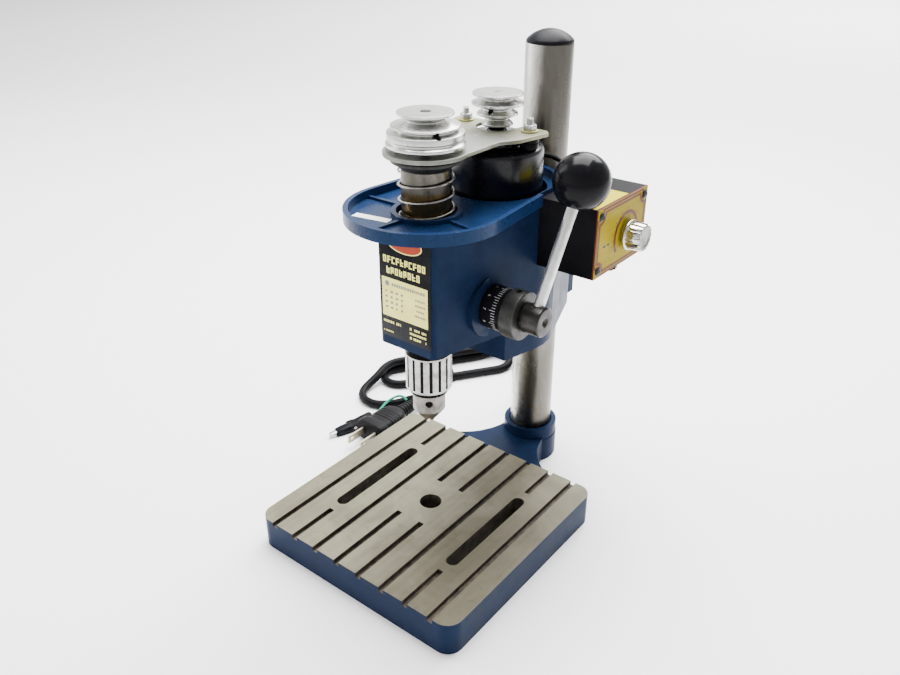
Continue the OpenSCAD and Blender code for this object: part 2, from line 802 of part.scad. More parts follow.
module motor_armature() {
    color([0.6, 0.4, 0.25]) at_motor() difference() {
        union() {
            translate([0, 0, motor_bottom + 20]) cylinder(d = 38, h = 38);
            translate([0, 0, motor_bottom + 8]) cylinder(d = 20, h = 13);
        }
        translate([0, 0, motor_bottom]) cylinder(r = 2.5, h = 100);
    }
}

module motor_pulley() {
    color([0.75, 0.75, 0.76]) at_motor() difference() {
        step_pulley(motor_rims, motor_waists, 2.5);
        pulley_screw_place(motor_waists[1], screw_turn[1]) cylinder(d = 3.2, h = 30);
    }
}

module motor_pulley_screw() {
    color("black") at_motor() pulley_screw_place(motor_waists[1], screw_turn[1]) translate([0, 0, 2.5])
        cylinder(d = 3, h = 3.5);
}

// ---------- feed ----------

// Involute outline of the pinion, with one tooth centred on +X of the drawing
function inv(a) = tan(a) * 180 / PI - a;
function flank(base, r, half) = let (a = acos(min(1, base / r))) [r, half + inv(20) - inv(a)];
module pinion_outline() {
    teeth = 18;
    base = pinion_r * cos(20);
    half = 90 / teeth - 0.55;
    radii = [base, 8.7, 9, 9.35, 9.7, 9.95];
    polygon([
        for (i = [0:teeth - 1]) each [
            [7.9 * cos(360 / teeth * i - half - inv(20) - 0.6), 7.9 * sin(360 / teeth * i - half - inv(20) - 0.6)],
            for (r = radii) let (f = flank(base, r, half), a = 360 / teeth * i - f[1]) [r * cos(a), r * sin(a)],
            for (k = [5:-1:0]) let (r = radii[k], f = flank(base, r, half), a = 360 / teeth * i + f[1])
                [r * cos(a), r * sin(a)],
            [7.9 * cos(360 / teeth * i + half + inv(20) + 0.6), 7.9 * sin(360 / teeth * i + half + inv(20) + 0.6)],
        ]
    ]);
}

module feed_shaft() {
    color("silver") at_feed() {
        translate([0, 0, -5]) rotate([0, 0, 90]) linear_extrude(height = 10) pinion_outline();
        translate([0, 0, 4.9]) cylinder(r = 5, h = 49.1);
        translate([0, 0, -27]) cylinder(r = 4, h = 22.1);
    }
}

module feed_hub() {
    color([0.13, 0.12, 0.11]) difference() {
        union() {
            at_feed() translate([0, 0, 54.3]) cylinder(d = 17.6, h = 12.9);
            at_feed() translate([0, 0, 54]) cylinder(d = 12, h = 1);
        }
        at_feed() translate([0, 0, 65.2]) cylinder(r1 = 0, r2 = 3, h = 2.01);
        lever_place() cylinder(d = 6.5, h = 20);
    }
}

module lever_place() {
    translate([lever_x, feed_y, feed_z]) rotate([-lever_back, 0, 0]) rotate([0, lever_out, 0]) children();
}

module lever_rod() {
    color("silver") lever_place() translate([0, 0, 0.5]) cylinder(d = 6.5, h = lever_len);
}

module ball_knob() {
    color([0.06, 0.06, 0.07]) lever_place() difference() {
        translate([0, 0, 81]) intersection() {
            sphere(d = ball_d, $fn = 96);
            translate([-30, -30, -14.6]) cube([60, 60, 60]);
        }
        translate([0, 0, 40]) cylinder(d = 6.5, h = lever_len + 0.5 - 40);
    }
}

module depth_stop() {
    color([0.12, 0.12, 0.12]) at_feed() difference() {
        ring(14.5, 5 + run_gap, 44.3, 53.8);
        translate([-16, 0, 49]) rotate([0, 90, 0]) cylinder(d = 4, h = 5);
    }
}

module speed_knob() {
    ridges = 14;
    color("silver") knob_place() difference() {
        union() {
            translate([0, 0, 2]) cylinder(d = knob_d, h = 2);
            translate([0, 0, 3.9]) cylinder(d1 = knob_d - 0.6, d2 = knob_d - 1.4, h = 9.2);
            translate([0, 0, -7]) cylinder(d = 6, h = 10);
        }
        for (i = [0:ridges - 1]) rotate([0, 0, 360 / ridges * i]) translate([knob_d / 2 - 0.1, 0, 4.6])
            cylinder(r = 1.1, h = 12, $fn = 16);
    }
}

// ---------- cord ----------

module mains_cord_drop() {
    color("black") tube(drop_path, cord_r, 10);
}

module mains_cord_run() {
    color("black") tube(run_path, cord_r, 10);
}

module hank_outline() {
    way = unit_of(hank_ends[1] - hank_ends[0]);
    off = hank_r * [-way[1], way[0]];
    for (p = hank_ends) translate(p) circle(r = hank_r);
    polygon([hank_ends[0] - off, hank_ends[1] - off, hank_ends[1] + off, hank_ends[0] + off]);
}

module mains_cord_hank() {
    color("black") difference() {
        translate([0, 0, 0.1]) linear_extrude(height = hank_h) hank_outline();
        tie_space();
    }
}

module mains_cord_tail() {
    color("black") tube(tail_path, cord_r, 10);
}

module tie_space() {
    translate([-120.5, 171, 0]) rotate([0, 0, atan2(hank_ends[1][1] - hank_ends[0][1], hank_ends[1][0] - hank_ends[0][0])])
        difference() {
            translate([-1.5, -hank_r - 1, 0.05]) cube([3, 2 * hank_r + 2, hank_h + 1]);
            translate([-2, -hank_r + 0.8, 1]) cube([4, 2 * hank_r - 1.6, hank_h - 1.6]);
        }
}

module cord_tie() {
    color("black") tie_space();
}

module plug_place() {
    translate([-100.5, 102, plug_z]) rotate([0, 0, -90]) children();
}

module plug_body() {
    color("black") plug_place() {
        rotate([0, 90, 0]) cylinder(r1 = 4.6, r2 = 6.2, h = 22);
        translate([20, -12, -8]) cube([26, 24, 15]);
        translate([45, -13.5, -9.5]) cube([10, 27, 18]);
    }
}

module plug_pins() {
    color("silver") plug_place() for (y = [-6.35, 6.35]) difference() {
        translate([55, y - 0.75, -3.5]) cube([17, 1.5, 6.3]);
        translate([68, y - 2, -0.4]) rotate([-90, 0, 0]) cylinder(d = 3, h = 4);
    }
}

module earth_wire() {
    color("green") tube(earth_path, 1);
}

module clip_place() {
    translate([-120, 70, 4]) rotate([0, 0, -105]) children();
}

module clip_pin_place() {
    translate([18, 0, 0]) rotate([90, 0, 0]) children();
}

module clip_jaw_fixed() {
    color("black") clip_place() {
        translate([0, -4.9, -3.9]) cube([22, 9.8, 2]);
        translate([21.9, -3, -3.9]) cube([17, 6, 2.6]);
        for (y = [-4.9, 3.9]) translate([16, y, -2]) cube([6, 1, 4.5]);
        clip_pin_place() cylinder(d = 1.6, h = 9.8, center = true);
    }
}

module clip_jaw_moving() {
    color("black") clip_place() difference() {
        union() {
            translate([0, -3.5, 3]) rotate([0, 8, 0]) cube([20, 7, 1.6]);
            translate([16.4, -2.7, -1.2]) cube([22.6, 5.4, 2.7]);
        }
        clip_pin_place() cylinder(d = 1.7, h = 12, center = true);
    }
}

table_base();
collar_screw();
column_tube();
column_cap();
head_casting();
label_plate();
tray_sticker();
clamp_bolt();
clamp_nut();
feed_bushes();
feed_scale_ring();
quill_key_screw();
control_box();
control_panel();
panel_screws();
box_sticker();
fuse_holder();
speed_control();
circuit_board();
cord_gland();
motor_lead();
quill_tube();
quill_bearings();
bearing_boss();
motor_plate();
motor_can();
motor_end_cap();
motor_magnets();
plate_nuts();
plate_washers();
rubber_bushes();
return_spring();
spindle_shaft();
spindle_pulley();
spindle_pulley_screw();
chuck_body();
chuck_sleeve();
chuck_jaw_1();
chuck_jaw_2();
chuck_jaw_3();
motor_shaft();
motor_armature();
motor_pulley();
motor_pulley_screw();
feed_shaft();
feed_hub();
lever_rod();
ball_knob();
depth_stop();
speed_knob();
mains_cord_drop();
mains_cord_run();
mains_cord_hank();
mains_cord_tail();
cord_tie();
plug_body();
plug_pins();
earth_wire();
clip_jaw_fixed();
clip_jaw_moving();
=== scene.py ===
import json
import math
import random

import bmesh
import bpy
from mathutils import Matrix, Vector

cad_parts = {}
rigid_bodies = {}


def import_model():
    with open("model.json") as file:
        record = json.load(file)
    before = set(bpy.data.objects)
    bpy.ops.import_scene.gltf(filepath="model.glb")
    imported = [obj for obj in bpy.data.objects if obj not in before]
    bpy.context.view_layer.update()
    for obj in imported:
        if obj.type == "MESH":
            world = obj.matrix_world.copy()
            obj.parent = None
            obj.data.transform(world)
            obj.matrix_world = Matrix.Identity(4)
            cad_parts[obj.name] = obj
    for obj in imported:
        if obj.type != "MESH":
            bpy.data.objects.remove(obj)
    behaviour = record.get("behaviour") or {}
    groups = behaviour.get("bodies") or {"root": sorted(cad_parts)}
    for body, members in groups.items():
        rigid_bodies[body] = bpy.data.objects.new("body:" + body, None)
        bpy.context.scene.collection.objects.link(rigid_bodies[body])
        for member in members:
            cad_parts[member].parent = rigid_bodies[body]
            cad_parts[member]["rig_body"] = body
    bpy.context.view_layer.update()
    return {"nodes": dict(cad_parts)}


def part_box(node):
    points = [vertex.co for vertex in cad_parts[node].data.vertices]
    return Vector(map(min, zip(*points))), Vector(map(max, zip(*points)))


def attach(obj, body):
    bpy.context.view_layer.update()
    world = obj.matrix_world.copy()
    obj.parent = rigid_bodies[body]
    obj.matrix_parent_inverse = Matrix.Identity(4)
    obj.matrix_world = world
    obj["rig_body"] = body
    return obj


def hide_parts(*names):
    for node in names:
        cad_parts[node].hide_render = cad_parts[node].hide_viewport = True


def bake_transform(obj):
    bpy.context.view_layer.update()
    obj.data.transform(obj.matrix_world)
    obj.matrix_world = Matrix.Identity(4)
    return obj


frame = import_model()
NODES = frame["nodes"]
MM = 0.001
TURN = 2 * math.pi
random.seed(7)


# ---------- places, worked out from the frame ----------

def middle(node):
    low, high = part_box(node)
    return (low + high) / 2


TABLE_LOW, TABLE_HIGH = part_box("table_base")
TABLE_H = 22.4 * MM
SLAB_BACK = 77 * MM
SLAB_CORNER = 10
COLUMN = middle("column_cap")
COLUMN_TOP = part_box("column_tube")[1].z
FEED = middle("feed_scale_ring")
MOTOR = middle("motor_pulley")
PANEL_LOW, PANEL_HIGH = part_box("control_panel")
KNOB = middle("speed_knob")


# ---------- camera ----------

def make_camera():
    azimuth, elevation = math.radians(38.18), math.radians(27.95)
    data = bpy.data.cameras.new("camera")
    data.sensor_width = 36
    data.lens = 33.62
    camera = bpy.data.objects.new("camera", data)
    camera.location = (0.2856, -0.3422, 0.3827)
    camera.rotation_euler = (math.pi / 2 - elevation, 0, azimuth)
    bpy.context.scene.collection.objects.link(camera)
    bpy.context.scene.camera = camera


make_camera()


# ---------- mesh helpers ----------

EASE_ANGLE = 30
CUT_SHARP = 40
NODE_SHARP = 28


def link(name, mesh, material=None):
    obj = bpy.data.objects.new(name, mesh)
    bpy.context.scene.collection.objects.link(obj)
    if material:
        obj.data.materials.append(material)
    return obj


def shade(mesh, sharp):
    """Smooth shading, except at edges sharper than sharp degrees."""
    mesh.shade_smooth()
    mesh.set_sharp_from_angle(angle=math.radians(sharp))


def from_lists(name, verts, faces, material=None, sharp=35):
    """A piece from vertices in metres and faces; it is smooth except at edges sharper than sharp degrees."""
    mesh = bpy.data.meshes.new(name)
    mesh.from_pydata([tuple(v) for v in verts], [], faces)
    work = bmesh.new()
    work.from_mesh(mesh)
    bmesh.ops.remove_doubles(work, verts=work.verts, dist=1e-7)
    bmesh.ops.recalc_face_normals(work, faces=work.faces)
    work.to_mesh(mesh)
    work.free()
    shade(mesh, sharp)
    return link(name, mesh, material)


def joined(name, pieces):
    """Several pieces as one; each keeps its own materials."""
    work = bmesh.new()
    materials = []
    for piece in pieces:
        start = len(work.faces)
        work.from_mesh(piece.data)
        work.faces.ensure_lookup_table()
        slots = []
        for material in piece.data.materials:
            if material not in materials:
                materials.append(material)
            slots.append(materials.index(material))
        for face in work.faces[start:]:
            face.material_index = slots[face.material_index] if slots else 0
    mesh = bpy.data.meshes.new(name)
    work.to_mesh(mesh)
    work.free()
    for piece in pieces:
        bpy.data.objects.remove(piece)
    obj = link(name, mesh)
    for material in materials:
        mesh.materials.append(material)
    return obj


def moved(piece, matrix):
    piece.data.transform(matrix)
    return piece


def place(x, y, z, *turns):
    """A place in millimetres, turned about the named axes in order, such as (90, 'Y')."""
    matrix = Matrix.Translation(Vector((x, y, z)) * MM)
    for angle, axis in turns:
        matrix = matrix @ Matrix.Rotation(math.radians(angle), 4, axis)
    return matrix


def eased(points, radius, steps=3):
    """A profile whose inner corners are rounded off by about radius."""
    out = [points[0]]
    for before, corner, after in zip(points, points[1:], points[2:]):
        b, c, a = Vector(before), Vector(corner), Vector(after)
        reach = min(radius, (b - c).length * 0.45, (a - c).length * 0.45)
        p, q = c + (b - c).normalized() * reach, c + (a - c).normalized() * reach
        for i in range(steps + 1):
            t = i / steps
            out.append(tuple(p * (1 - t) ** 2 + c * 2 * t * (1 - t) + q * t ** 2))
    return out + [points[-1]]


def lathe(name, profile, matrix=Matrix.Identity(4), material=None, steps=96):
    """Turns a closed profile of (radius, height) pairs in millimetres about the place's Z axis."""
    verts, faces = [], []
    count = len(profile)
    for i in range(steps):
        a = TURN * i / steps
        verts += [matrix @ (Vector((r * math.cos(a), r * math.sin(a), z)) * MM) for r, z in profile]
    for i in range(steps):
        j = (i + 1) % steps
        for k in range(count):
            m = (k + 1) % count
            faces.append([i * count + k, j * count + k, j * count + m, i * count + m])
    return tidy_faces(from_lists(name, verts, faces, material))


def tidy_faces(piece):
    """Removes faces and edges that closed up to nothing, as at a lathe's axis."""
    work = bmesh.new()
    work.from_mesh(piece.data)
    bmesh.ops.dissolve_degenerate(work, edges=work.edges, dist=1e-7)
    work.to_mesh(piece.data)
    work.free()
    return piece


def smooth_route(points, step):
    """A Catmull-Rom curve through the points, about one point per step, all in metres."""
    points = [Vector(p) for p in points]
    ends = [points[0] * 2 - points[1]] + points + [points[-1] * 2 - points[-2]]
    out = []
    for a, b, c, d in zip(ends, ends[1:], ends[2:], ends[3:]):
        parts = max(1, round((c - b).length / step))
        for i in range(parts):
            t = i / parts
            bend, twist = 2 * a - 5 * b + 4 * c - d, 3 * b - a - 3 * c + d
            out.append((2 * b + (c - a) * t + bend * t * t + twist * t ** 3) / 2)
    return out + [points[-1]]


def evened(route, step):
    """The route's points again, at even steps along it."""
    reach = [0]
    for a, b in zip(route, route[1:]):
        reach.append(reach[-1] + (b - a).length)
    count = round(reach[-1] / step)
    out, i = [], 0
    for k in range(count + 1):
        goal = reach[-1] * k / count
        while i < len(route) - 2 and reach[i + 1] < goal:
            i += 1
        span = reach[i + 1] - reach[i]
        out.append(route[i].lerp(route[i + 1], min(1, (goal - reach[i]) / span) if span else 0))
    return out


def relaxed(route, step, passes):
    """An even route with its small kinks smoothed out and its two ends left where they are."""
    route = evened(route, step)
    for _ in range(passes):
        inner = [(a + 2 * b + c) / 4 for a, b, c in zip(route, route[1:], route[2:])]
        route = [route[0]] + inner + [route[-1]]
    return evened(route, step)


def tube(name, route, radius, sides, material):
    """A closed tube round a route, all in metres."""
    verts, faces = [], []
    way = (route[1] - route[0]).normalized()
    side = way.cross(Vector((0, 1, 0) if abs(way.z) > 0.9 else (0, 0, 1))).normalized()
    for i, p in enumerate(route):
        way = (route[min(i + 1, len(route) - 1)] - route[max(i - 1, 0)]).normalized()
        side = (side - way * side.dot(way)).normalized()
        up = way.cross(side)
        for k in range(sides):
            a = TURN * k / sides
            verts.append(p + (side * math.cos(a) + up * math.sin(a)) * radius)
    for i in range(len(route) - 1):
        for k in range(sides):
            m = (k + 1) % sides
            faces.append([i * sides + k, i * sides + m, (i + 1) * sides + m, (i + 1) * sides + k])
    faces.append(list(range(sides))[::-1])
    faces.append([(len(route) - 1) * sides + k for k in range(sides)])
    return from_lists(name, verts, faces, material, 50)


def prism(name, outline, low, high, matrix=Matrix.Identity(4), material=None, bevel=0.0):
    """An outline of (x, y) pairs in millimetres drawn up from low to high, with eased edges."""
    count = len(outline)
    verts = [matrix @ (Vector((x, y, z)) * MM) for z in (low, high) for x, y in outline]
    faces = [[k, (k + 1) % count, count + (k + 1) % count, count + k] for k in range(count)]
    faces += [list(range(count))[::-1], [count + k for k in range(count)]]
    piece = from_lists(name, verts, faces, material)
    return eased_edges(piece, bevel) if bevel else piece


def eased_edges(piece, width, segments=2):
    """Rounds every edge sharper than EASE_ANGLE by width millimetres."""
    modifier = piece.modifiers.new("ease", "BEVEL")
    modifier.width = width * MM
    modifier.segments = segments
    modifier.limit_method = "ANGLE"
    modifier.angle_limit = math.radians(EASE_ANGLE)
    modifier.harden_normals = False
    modifier.use_clamp_overlap = True
    apply_modifiers(piece)
    shade(piece.data, CUT_SHARP)
    return piece


def apply_modifiers(piece):
    graph = bpy.context.evaluated_depsgraph_get()
    graph.update()
    mesh = bpy.data.meshes.new_from_object(piece.evaluated_get(graph))
    piece.modifiers.clear()
    piece.data = mesh


def softened(node, width, segments, name):
    """A copy of a CAD node with its edges rounded by width millimetres, to stand for the node."""
    mesh = NODES[node].data.copy()
    mesh.materials.clear()
    work = bmesh.new()
    work.from_mesh(mesh)
    bmesh.ops.remove_doubles(work, verts=work.verts, dist=2e-6)
    bmesh.ops.dissolve_limit(work, angle_limit=math.radians(0.6), verts=work.verts, edges=work.edges)
    work.to_mesh(mesh)
    work.free()
    return firm_normals(eased_edges(link(name, mesh), width, segments))


def firm_normals(piece):
    """Lets the large faces set the shading, so that eased edges don't streak across them."""
    modifier = piece.modifiers.new("normals", "WEIGHTED_NORMAL")
    modifier.keep_sharp = True
    apply_modifiers(piece)
    return piece


def block(name, low, high, material=None, bevel=0.0, matrix=Matrix.Identity(4)):
    (x0, y0, z0), (x1, y1, z1) = low, high
    return prism(name, [(x0, y0), (x1, y0), (x1, y1), (x0, y1)], z0, z1, matrix, material, bevel)


def arc(cx, cy, r, start, stop, steps):
    return [
        (cx + r * math.cos(math.radians(start + (stop - start) * i / steps)),
         cy + r * math.sin(math.radians(start + (stop - start) * i / steps)))
        for i in range(steps + 1)
    ]


# ---------- material helpers ----------

class Finish:
    """A material being built: a Principled shader, with short calls for the nodes that drive it."""

    def __init__(self, name, colour, roughness=0.5, metallic=0.0, **sockets):
        self.material = bpy.data.materials.new(name)
        self.material.use_nodes = True
        self.tree = self.material.node_tree
        self.shader = self.tree.nodes["Principled BSDF"]
        self.shader.inputs["Base Color"].default_value = (*colour, 1)
        self.shader.inputs["Roughness"].default_value = roughness
        self.shader.inputs["Metallic"].default_value = metallic
        for socket, value in sockets.items():
            self.shader.inputs[socket.replace("_", " ")].default_value = value
        self.material.diffuse_color = (*colour, 1)
        self.place = self.add("ShaderNodeTexCoord").outputs["Object"]

    def add(self, kind, **settings):
        node = self.tree.nodes.new(kind)
        for key, value in settings.items():
            setattr(node, key, value)
        return node

    def put(self, node, socket, value):
        target = node.inputs[socket]
        if isinstance(value, bpy.types.NodeSocket):
            self.tree.links.new(value, target)
        else:
            target.default_value = value

    def stretched(self, scale):
        node = self.add("ShaderNodeMapping")
        self.put(node, "Vector", self.place)
        node.inputs["Scale"].default_value = scale
        return node.outputs[0]

    def noise(self, scale, detail=3.0, rough=0.55, stretch=None, distortion=0.0):
        node = self.add("ShaderNodeTexNoise")
        self.put(node, "Vector", self.stretched(stretch) if stretch else self.place)
        node.inputs["Scale"].default_value = scale
        node.inputs["Detail"].default_value = detail
        node.inputs["Roughness"].default_value = rough
        node.inputs["Distortion"].default_value = distortion
        return node.outputs[0]

    def ramp(self, value, low, high, dark=0.0, light=1.0):
        node = self.add("ShaderNodeMapRange")
        node.clamp = True
        self.put(node, "Value", value)
        for socket, number in zip(("From Min", "From Max", "To Min", "To Max"), (low, high, dark, light)):
            node.inputs[socket].default_value = number
        return node.outputs[0]

    def maths(self, operation, a, b=0.0):
        node = self.add("ShaderNodeMath", operation=operation)
        self.put(node, 0, a)
        self.put(node, 1, b)
        return node.outputs[0]

    def mix(self, share, first, second):
        node = self.add("ShaderNodeMix", data_type="RGBA")
        self.put(node, 0, share)
        for index, value in ((6, first), (7, second)):
            self.put(node, index, value if isinstance(value, bpy.types.NodeSocket) else (*value, 1))
        return node.outputs[2]

    def axis(self, name):
        node = self.add("ShaderNodeSeparateXYZ")
        self.put(node, 0, self.place)
        return node.outputs[name]

    def from_axis(self, centre):
        """Distance in metres from the upright line through centre."""
        shift = self.add("ShaderNodeVectorMath", operation="SUBTRACT")
        self.put(shift, 0, self.place)
        shift.inputs[1].default_value = centre
        flat = self.add("ShaderNodeVectorMath", operation="MULTIPLY")
        self.put(flat, 0, shift.outputs[0])
        flat.inputs[1].default_value = (1, 1, 0)
        length = self.add("ShaderNodeVectorMath", operation="LENGTH")
        self.put(length, 0, flat.outputs[0])
        return length.outputs["Value"]

    def colour(self, value):
        self.put(self.shader, "Base Color", value)
        return self

    def roughness(self, value):
        self.put(self.shader, "Roughness", value)
        return self

    def bump(self, height, strength, distance_mm):
        node = self.add("ShaderNodeBump")
        node.inputs["Strength"].default_value = strength
        node.inputs["Distance"].default_value = distance_mm * MM
        self.put(node, "Height", height)
        self.put(self.shader, "Normal", node.outputs[0])
        return self


def blue_enamel():
    f = Finish("blue_enamel", (0.005, 0.016, 0.050), 0.28, Specular_IOR_Level=0.14,
               Specular_Tint=(0.55, 0.75, 1, 1))
    cast = f.noise(70, 5, 0.6)
    fine = f.noise(900, 2)
    worn = f.noise(38, 6, 0.62, distortion=0.4)
    base = f.mix(f.ramp(cast, 0.3, 0.7), (0.004, 0.015, 0.048), (0.006, 0.021, 0.066))
    f.colour(f.mix(f.ramp(worn, 0.62, 0.80, 0, 0.5), base, (0.016, 0.028, 0.052)))
    f.roughness(f.ramp(worn, 0.3, 0.8, 0.22, 0.42))
    return f.bump(f.maths("ADD", cast, f.maths("MULTIPLY", fine, 0.25)), 0.5, 0.25).material


# A darker, less glossy copy of the blue enamel: a painted shade on the faces that take it.
def shaded_enamel():
    f = Finish("shaded_enamel", (0.006, 0.015, 0.040), 0.32, Specular_IOR_Level=0.05,
               Specular_Tint=(0.55, 0.75, 1, 1))
    cast = f.noise(60, 5, 0.6)
    fine = f.noise(700, 2)
    chips = f.noise(120, 5, 0.7)
    base = f.mix(f.ramp(cast, 0.3, 0.7), (0.004, 0.010, 0.030), (0.007, 0.016, 0.044))
    f.colour(f.mix(f.ramp(chips, 0.70, 0.74, 0, 0.7), base, (0.030, 0.034, 0.040)))
    f.roughness(f.ramp(cast, 0.3, 0.7, 0.28, 0.44))
    return f.bump(f.maths("ADD", cast, f.maths("MULTIPLY", fine, 0.2)), 0.45, 0.3).material


def machined_iron():
    """A ground table top: warm grey with faint grinding lines, and a painted shade that darkens it towards
    +X.
    """
    f = Finish("machined_iron", (0.17, 0.152, 0.10), 0.5, 0.35, Specular_IOR_Level=0.25)
    lines = f.noise(260, 3, 0.6, stretch=(1, 0.03, 1))
    stain = f.noise(26, 6, 0.62, distortion=0.6)
    spots = f.noise(210, 3, 0.6)
    base = f.mix(f.ramp(stain, 0.35, 0.72), (0.155, 0.144, 0.096), (0.092, 0.082, 0.053))
    base = f.mix(f.ramp(spots, 0.60, 0.74, 0, 0.55), base, (0.065, 0.054, 0.036))
    base = f.mix(f.ramp(lines, 0.35, 0.7, 0, 0.25), base, (0.215, 0.198, 0.145))
    # Painted shade: the top turns darker towards +X.
    right = f.ramp(f.maths("ADD", f.axis("X"), f.maths("MULTIPLY", stain, 0.08)), 0.02, 0.11, 0, 0.55)
    f.colour(f.mix(right, base, (0.070, 0.060, 0.041)))
    f.roughness(f.ramp(stain, 0.3, 0.75, 0.42, 0.62))
    return f.bump(lines, 0.25, 0.03).material


def groove_iron():
    f = Finish("groove_iron", (0.085, 0.066, 0.045), 0.7, 0.3)
    dirt = f.noise(160, 4, 0.65)
    f.colour(f.mix(f.ramp(dirt, 0.35, 0.7), (0.022, 0.017, 0.012), (0.085, 0.068, 0.047)))
    return f.bump(dirt, 0.4, 0.1).material


def column_steel():
    """Tarnished steel with rust spots low down, and a painted dark reflection that makes its +X side much
    darker.
    """
    f = Finish("column_steel", (0.50, 0.49, 0.46), 0.26, 1.0)
    streak = f.noise(420, 3, 0.6, stretch=(1, 1, 0.02))
    rings = f.noise(900, 2, 0.5, stretch=(0.05, 0.05, 1))
    tarnish = f.noise(48, 6, 0.66, stretch=(1, 1, 0.35), distortion=0.5)
    rust = f.noise(330, 5, 0.7)
    low = f.ramp(f.axis("Z"), 0.030, 0.085, 1.0, 0.0)
    base = f.mix(f.ramp(tarnish, 0.40, 0.72), (0.74, 0.73, 0.70), (0.36, 0.335, 0.285))
    # Painted dark reflection: the +X side turns nearly black.
    right = f.ramp(f.maths("ADD", f.axis("X"), f.maths("MULTIPLY", tarnish, 0.006)), 0.000, 0.009, 0, 0.88)
    base = f.mix(right, base, (0.060, 0.053, 0.042))
    spots = f.maths("MULTIPLY", f.ramp(rust, 0.53, 0.64), f.ramp(low, 0, 1, 0.12, 1.0))
    f.colour(f.mix(spots, base, (0.13, 0.085, 0.045)))
    f.roughness(f.ramp(f.maths("ADD", f.maths("MULTIPLY", tarnish, 0.7), f.maths("MULTIPLY", streak, 0.3)),
                       0.3, 0.75, 0.20, 0.46))
    return f.bump(f.maths("ADD", streak, rings), 0.12, 0.03).material


def aluminium(name, centre):
    """Fine rings of a lathe tool: they follow the distance from the axis and the height along it."""
    colour, smooth, dull = (0.58, 0.58, 0.56), 0.20, 0.34
    f = Finish(name, (0.56, 0.56, 0.54), smooth, 1.0)
    wave = f.add("ShaderNodeTexNoise", noise_dimensions="1D")
    f.put(wave, "W", f.maths("ADD", f.from_axis(centre), f.axis("Z")))
    wave.inputs["Scale"].default_value = 2600
    wave.inputs["Detail"].default_value = 2
    soil = f.noise(90, 4)
    f.colour(f.mix(f.ramp(soil, 0.45, 0.75), colour, tuple(c * 0.62 for c in colour)))
    f.roughness(f.ramp(f.maths("MULTIPLY", wave.outputs[0], soil), 0.1, 0.45, smooth, dull))
    return f.bump(wave.outputs[0], 0.35, 0.012).material


def plain_steel(name, colour, roughness=0.25, grime=0.5, metallic=1.0):
    f = Finish(name, colour, roughness, metallic)
    soil = f.noise(150, 5, 0.62)
    fine = f.noise(1500, 2)
    dark = tuple(c * grime for c in colour)
    f.colour(f.mix(f.ramp(soil, 0.42, 0.74), colour, dark))
    f.roughness(f.ramp(soil, 0.3, 0.75, roughness, roughness + 0.22))
    return f.bump(fine, 0.15, 0.02).material


def black_steel():
    f = Finish("black_steel", (0.030, 0.029, 0.028), 0.38, 0.55)
    wear = f.noise(180, 5, 0.65)
    fine = f.noise(1400, 2)
    f.colour(f.mix(f.ramp(wear, 0.55, 0.8), (0.014, 0.013, 0.013), (0.050, 0.045, 0.040)))
    f.roughness(f.ramp(wear, 0.3, 0.8, 0.32, 0.55))
    return f.bump(fine, 0.25, 0.03).material


def black_paint():
    f = Finish("black_paint", (0.005, 0.005, 0.0065), 0.36, Specular_IOR_Level=0.025)
    grain = f.noise(1100, 3, 0.6)
    smear = f.noise(30, 4, 0.6)
    f.colour(f.mix(f.ramp(smear, 0.35, 0.7), (0.004, 0.004, 0.005), (0.008, 0.008, 0.0095)))
    f.roughness(f.ramp(smear, 0.3, 0.7, 0.26, 0.42))
    return f.bump(grain, 0.35, 0.05).material


def motor_gloss():
    f = Finish("motor_gloss", (0.004, 0.004, 0.007), 0.24, Specular_IOR_Level=0.28)
    dust = f.noise(60, 6, 0.65)
    f.colour(f.mix(f.ramp(dust, 0.50, 0.80, 0, 0.6), (0.003, 0.003, 0.006), (0.013, 0.013, 0.012)))
    f.roughness(f.ramp(dust, 0.35, 0.75, 0.16, 0.38))
    return f.bump(f.noise(500, 3), 0.12, 0.05).material


def ball_gloss():
    f = Finish("ball_gloss", (0.005, 0.005, 0.006), 0.14, Specular_IOR_Level=0.08)
    scuff = f.noise(110, 6, 0.7, distortion=0.8)
    f.colour(f.mix(f.ramp(scuff, 0.55, 0.8, 0, 0.5), (0.004, 0.004, 0.005), (0.016, 0.016, 0.017)))
    f.roughness(f.ramp(scuff, 0.35, 0.75, 0.11, 0.30))
    return f.bump(scuff, 0.05, 0.05).material


def rubber(name, colour, roughness=0.5):
    f = Finish(name, colour, roughness, Specular_IOR_Level=0.06)
    grain = f.noise(1300, 3, 0.6)
    dust = f.noise(70, 5, 0.65)
    light = tuple(min(1, c * 2.0 + 0.003) for c in colour)
    f.colour(f.mix(f.ramp(dust, 0.45, 0.8, 0, 0.8), colour, light))
    f.roughness(f.ramp(dust, 0.3, 0.7, roughness - 0.08, roughness + 0.14))
    return f.bump(grain, 0.3, 0.06).material


def bronze_sleeve():
    """The quill's sleeve: worn bronze lower down, bare steel in its top stretch."""
    f = Finish("bronze_sleeve", (0.38, 0.30, 0.15), 0.24, 1.0)
    smear = f.noise(60, 5, 0.62, stretch=(1, 1, 0.4), distortion=0.5)
    rings = f.noise(900, 2, 0.5, stretch=(0.04, 0.04, 1))
    brass = f.mix(f.ramp(smear, 0.35, 0.7), (0.16, 0.115, 0.045), (0.045, 0.032, 0.015))
    steel = f.mix(f.ramp(smear, 0.4, 0.7), (0.12, 0.112, 0.095), (0.045, 0.042, 0.036))
    f.colour(f.mix(f.ramp(f.axis("Z"), 0.2385, 0.2400), brass, steel))
    f.roughness(f.ramp(smear, 0.3, 0.75, 0.20, 0.42))
    return f.bump(rings, 0.15, 0.03).material


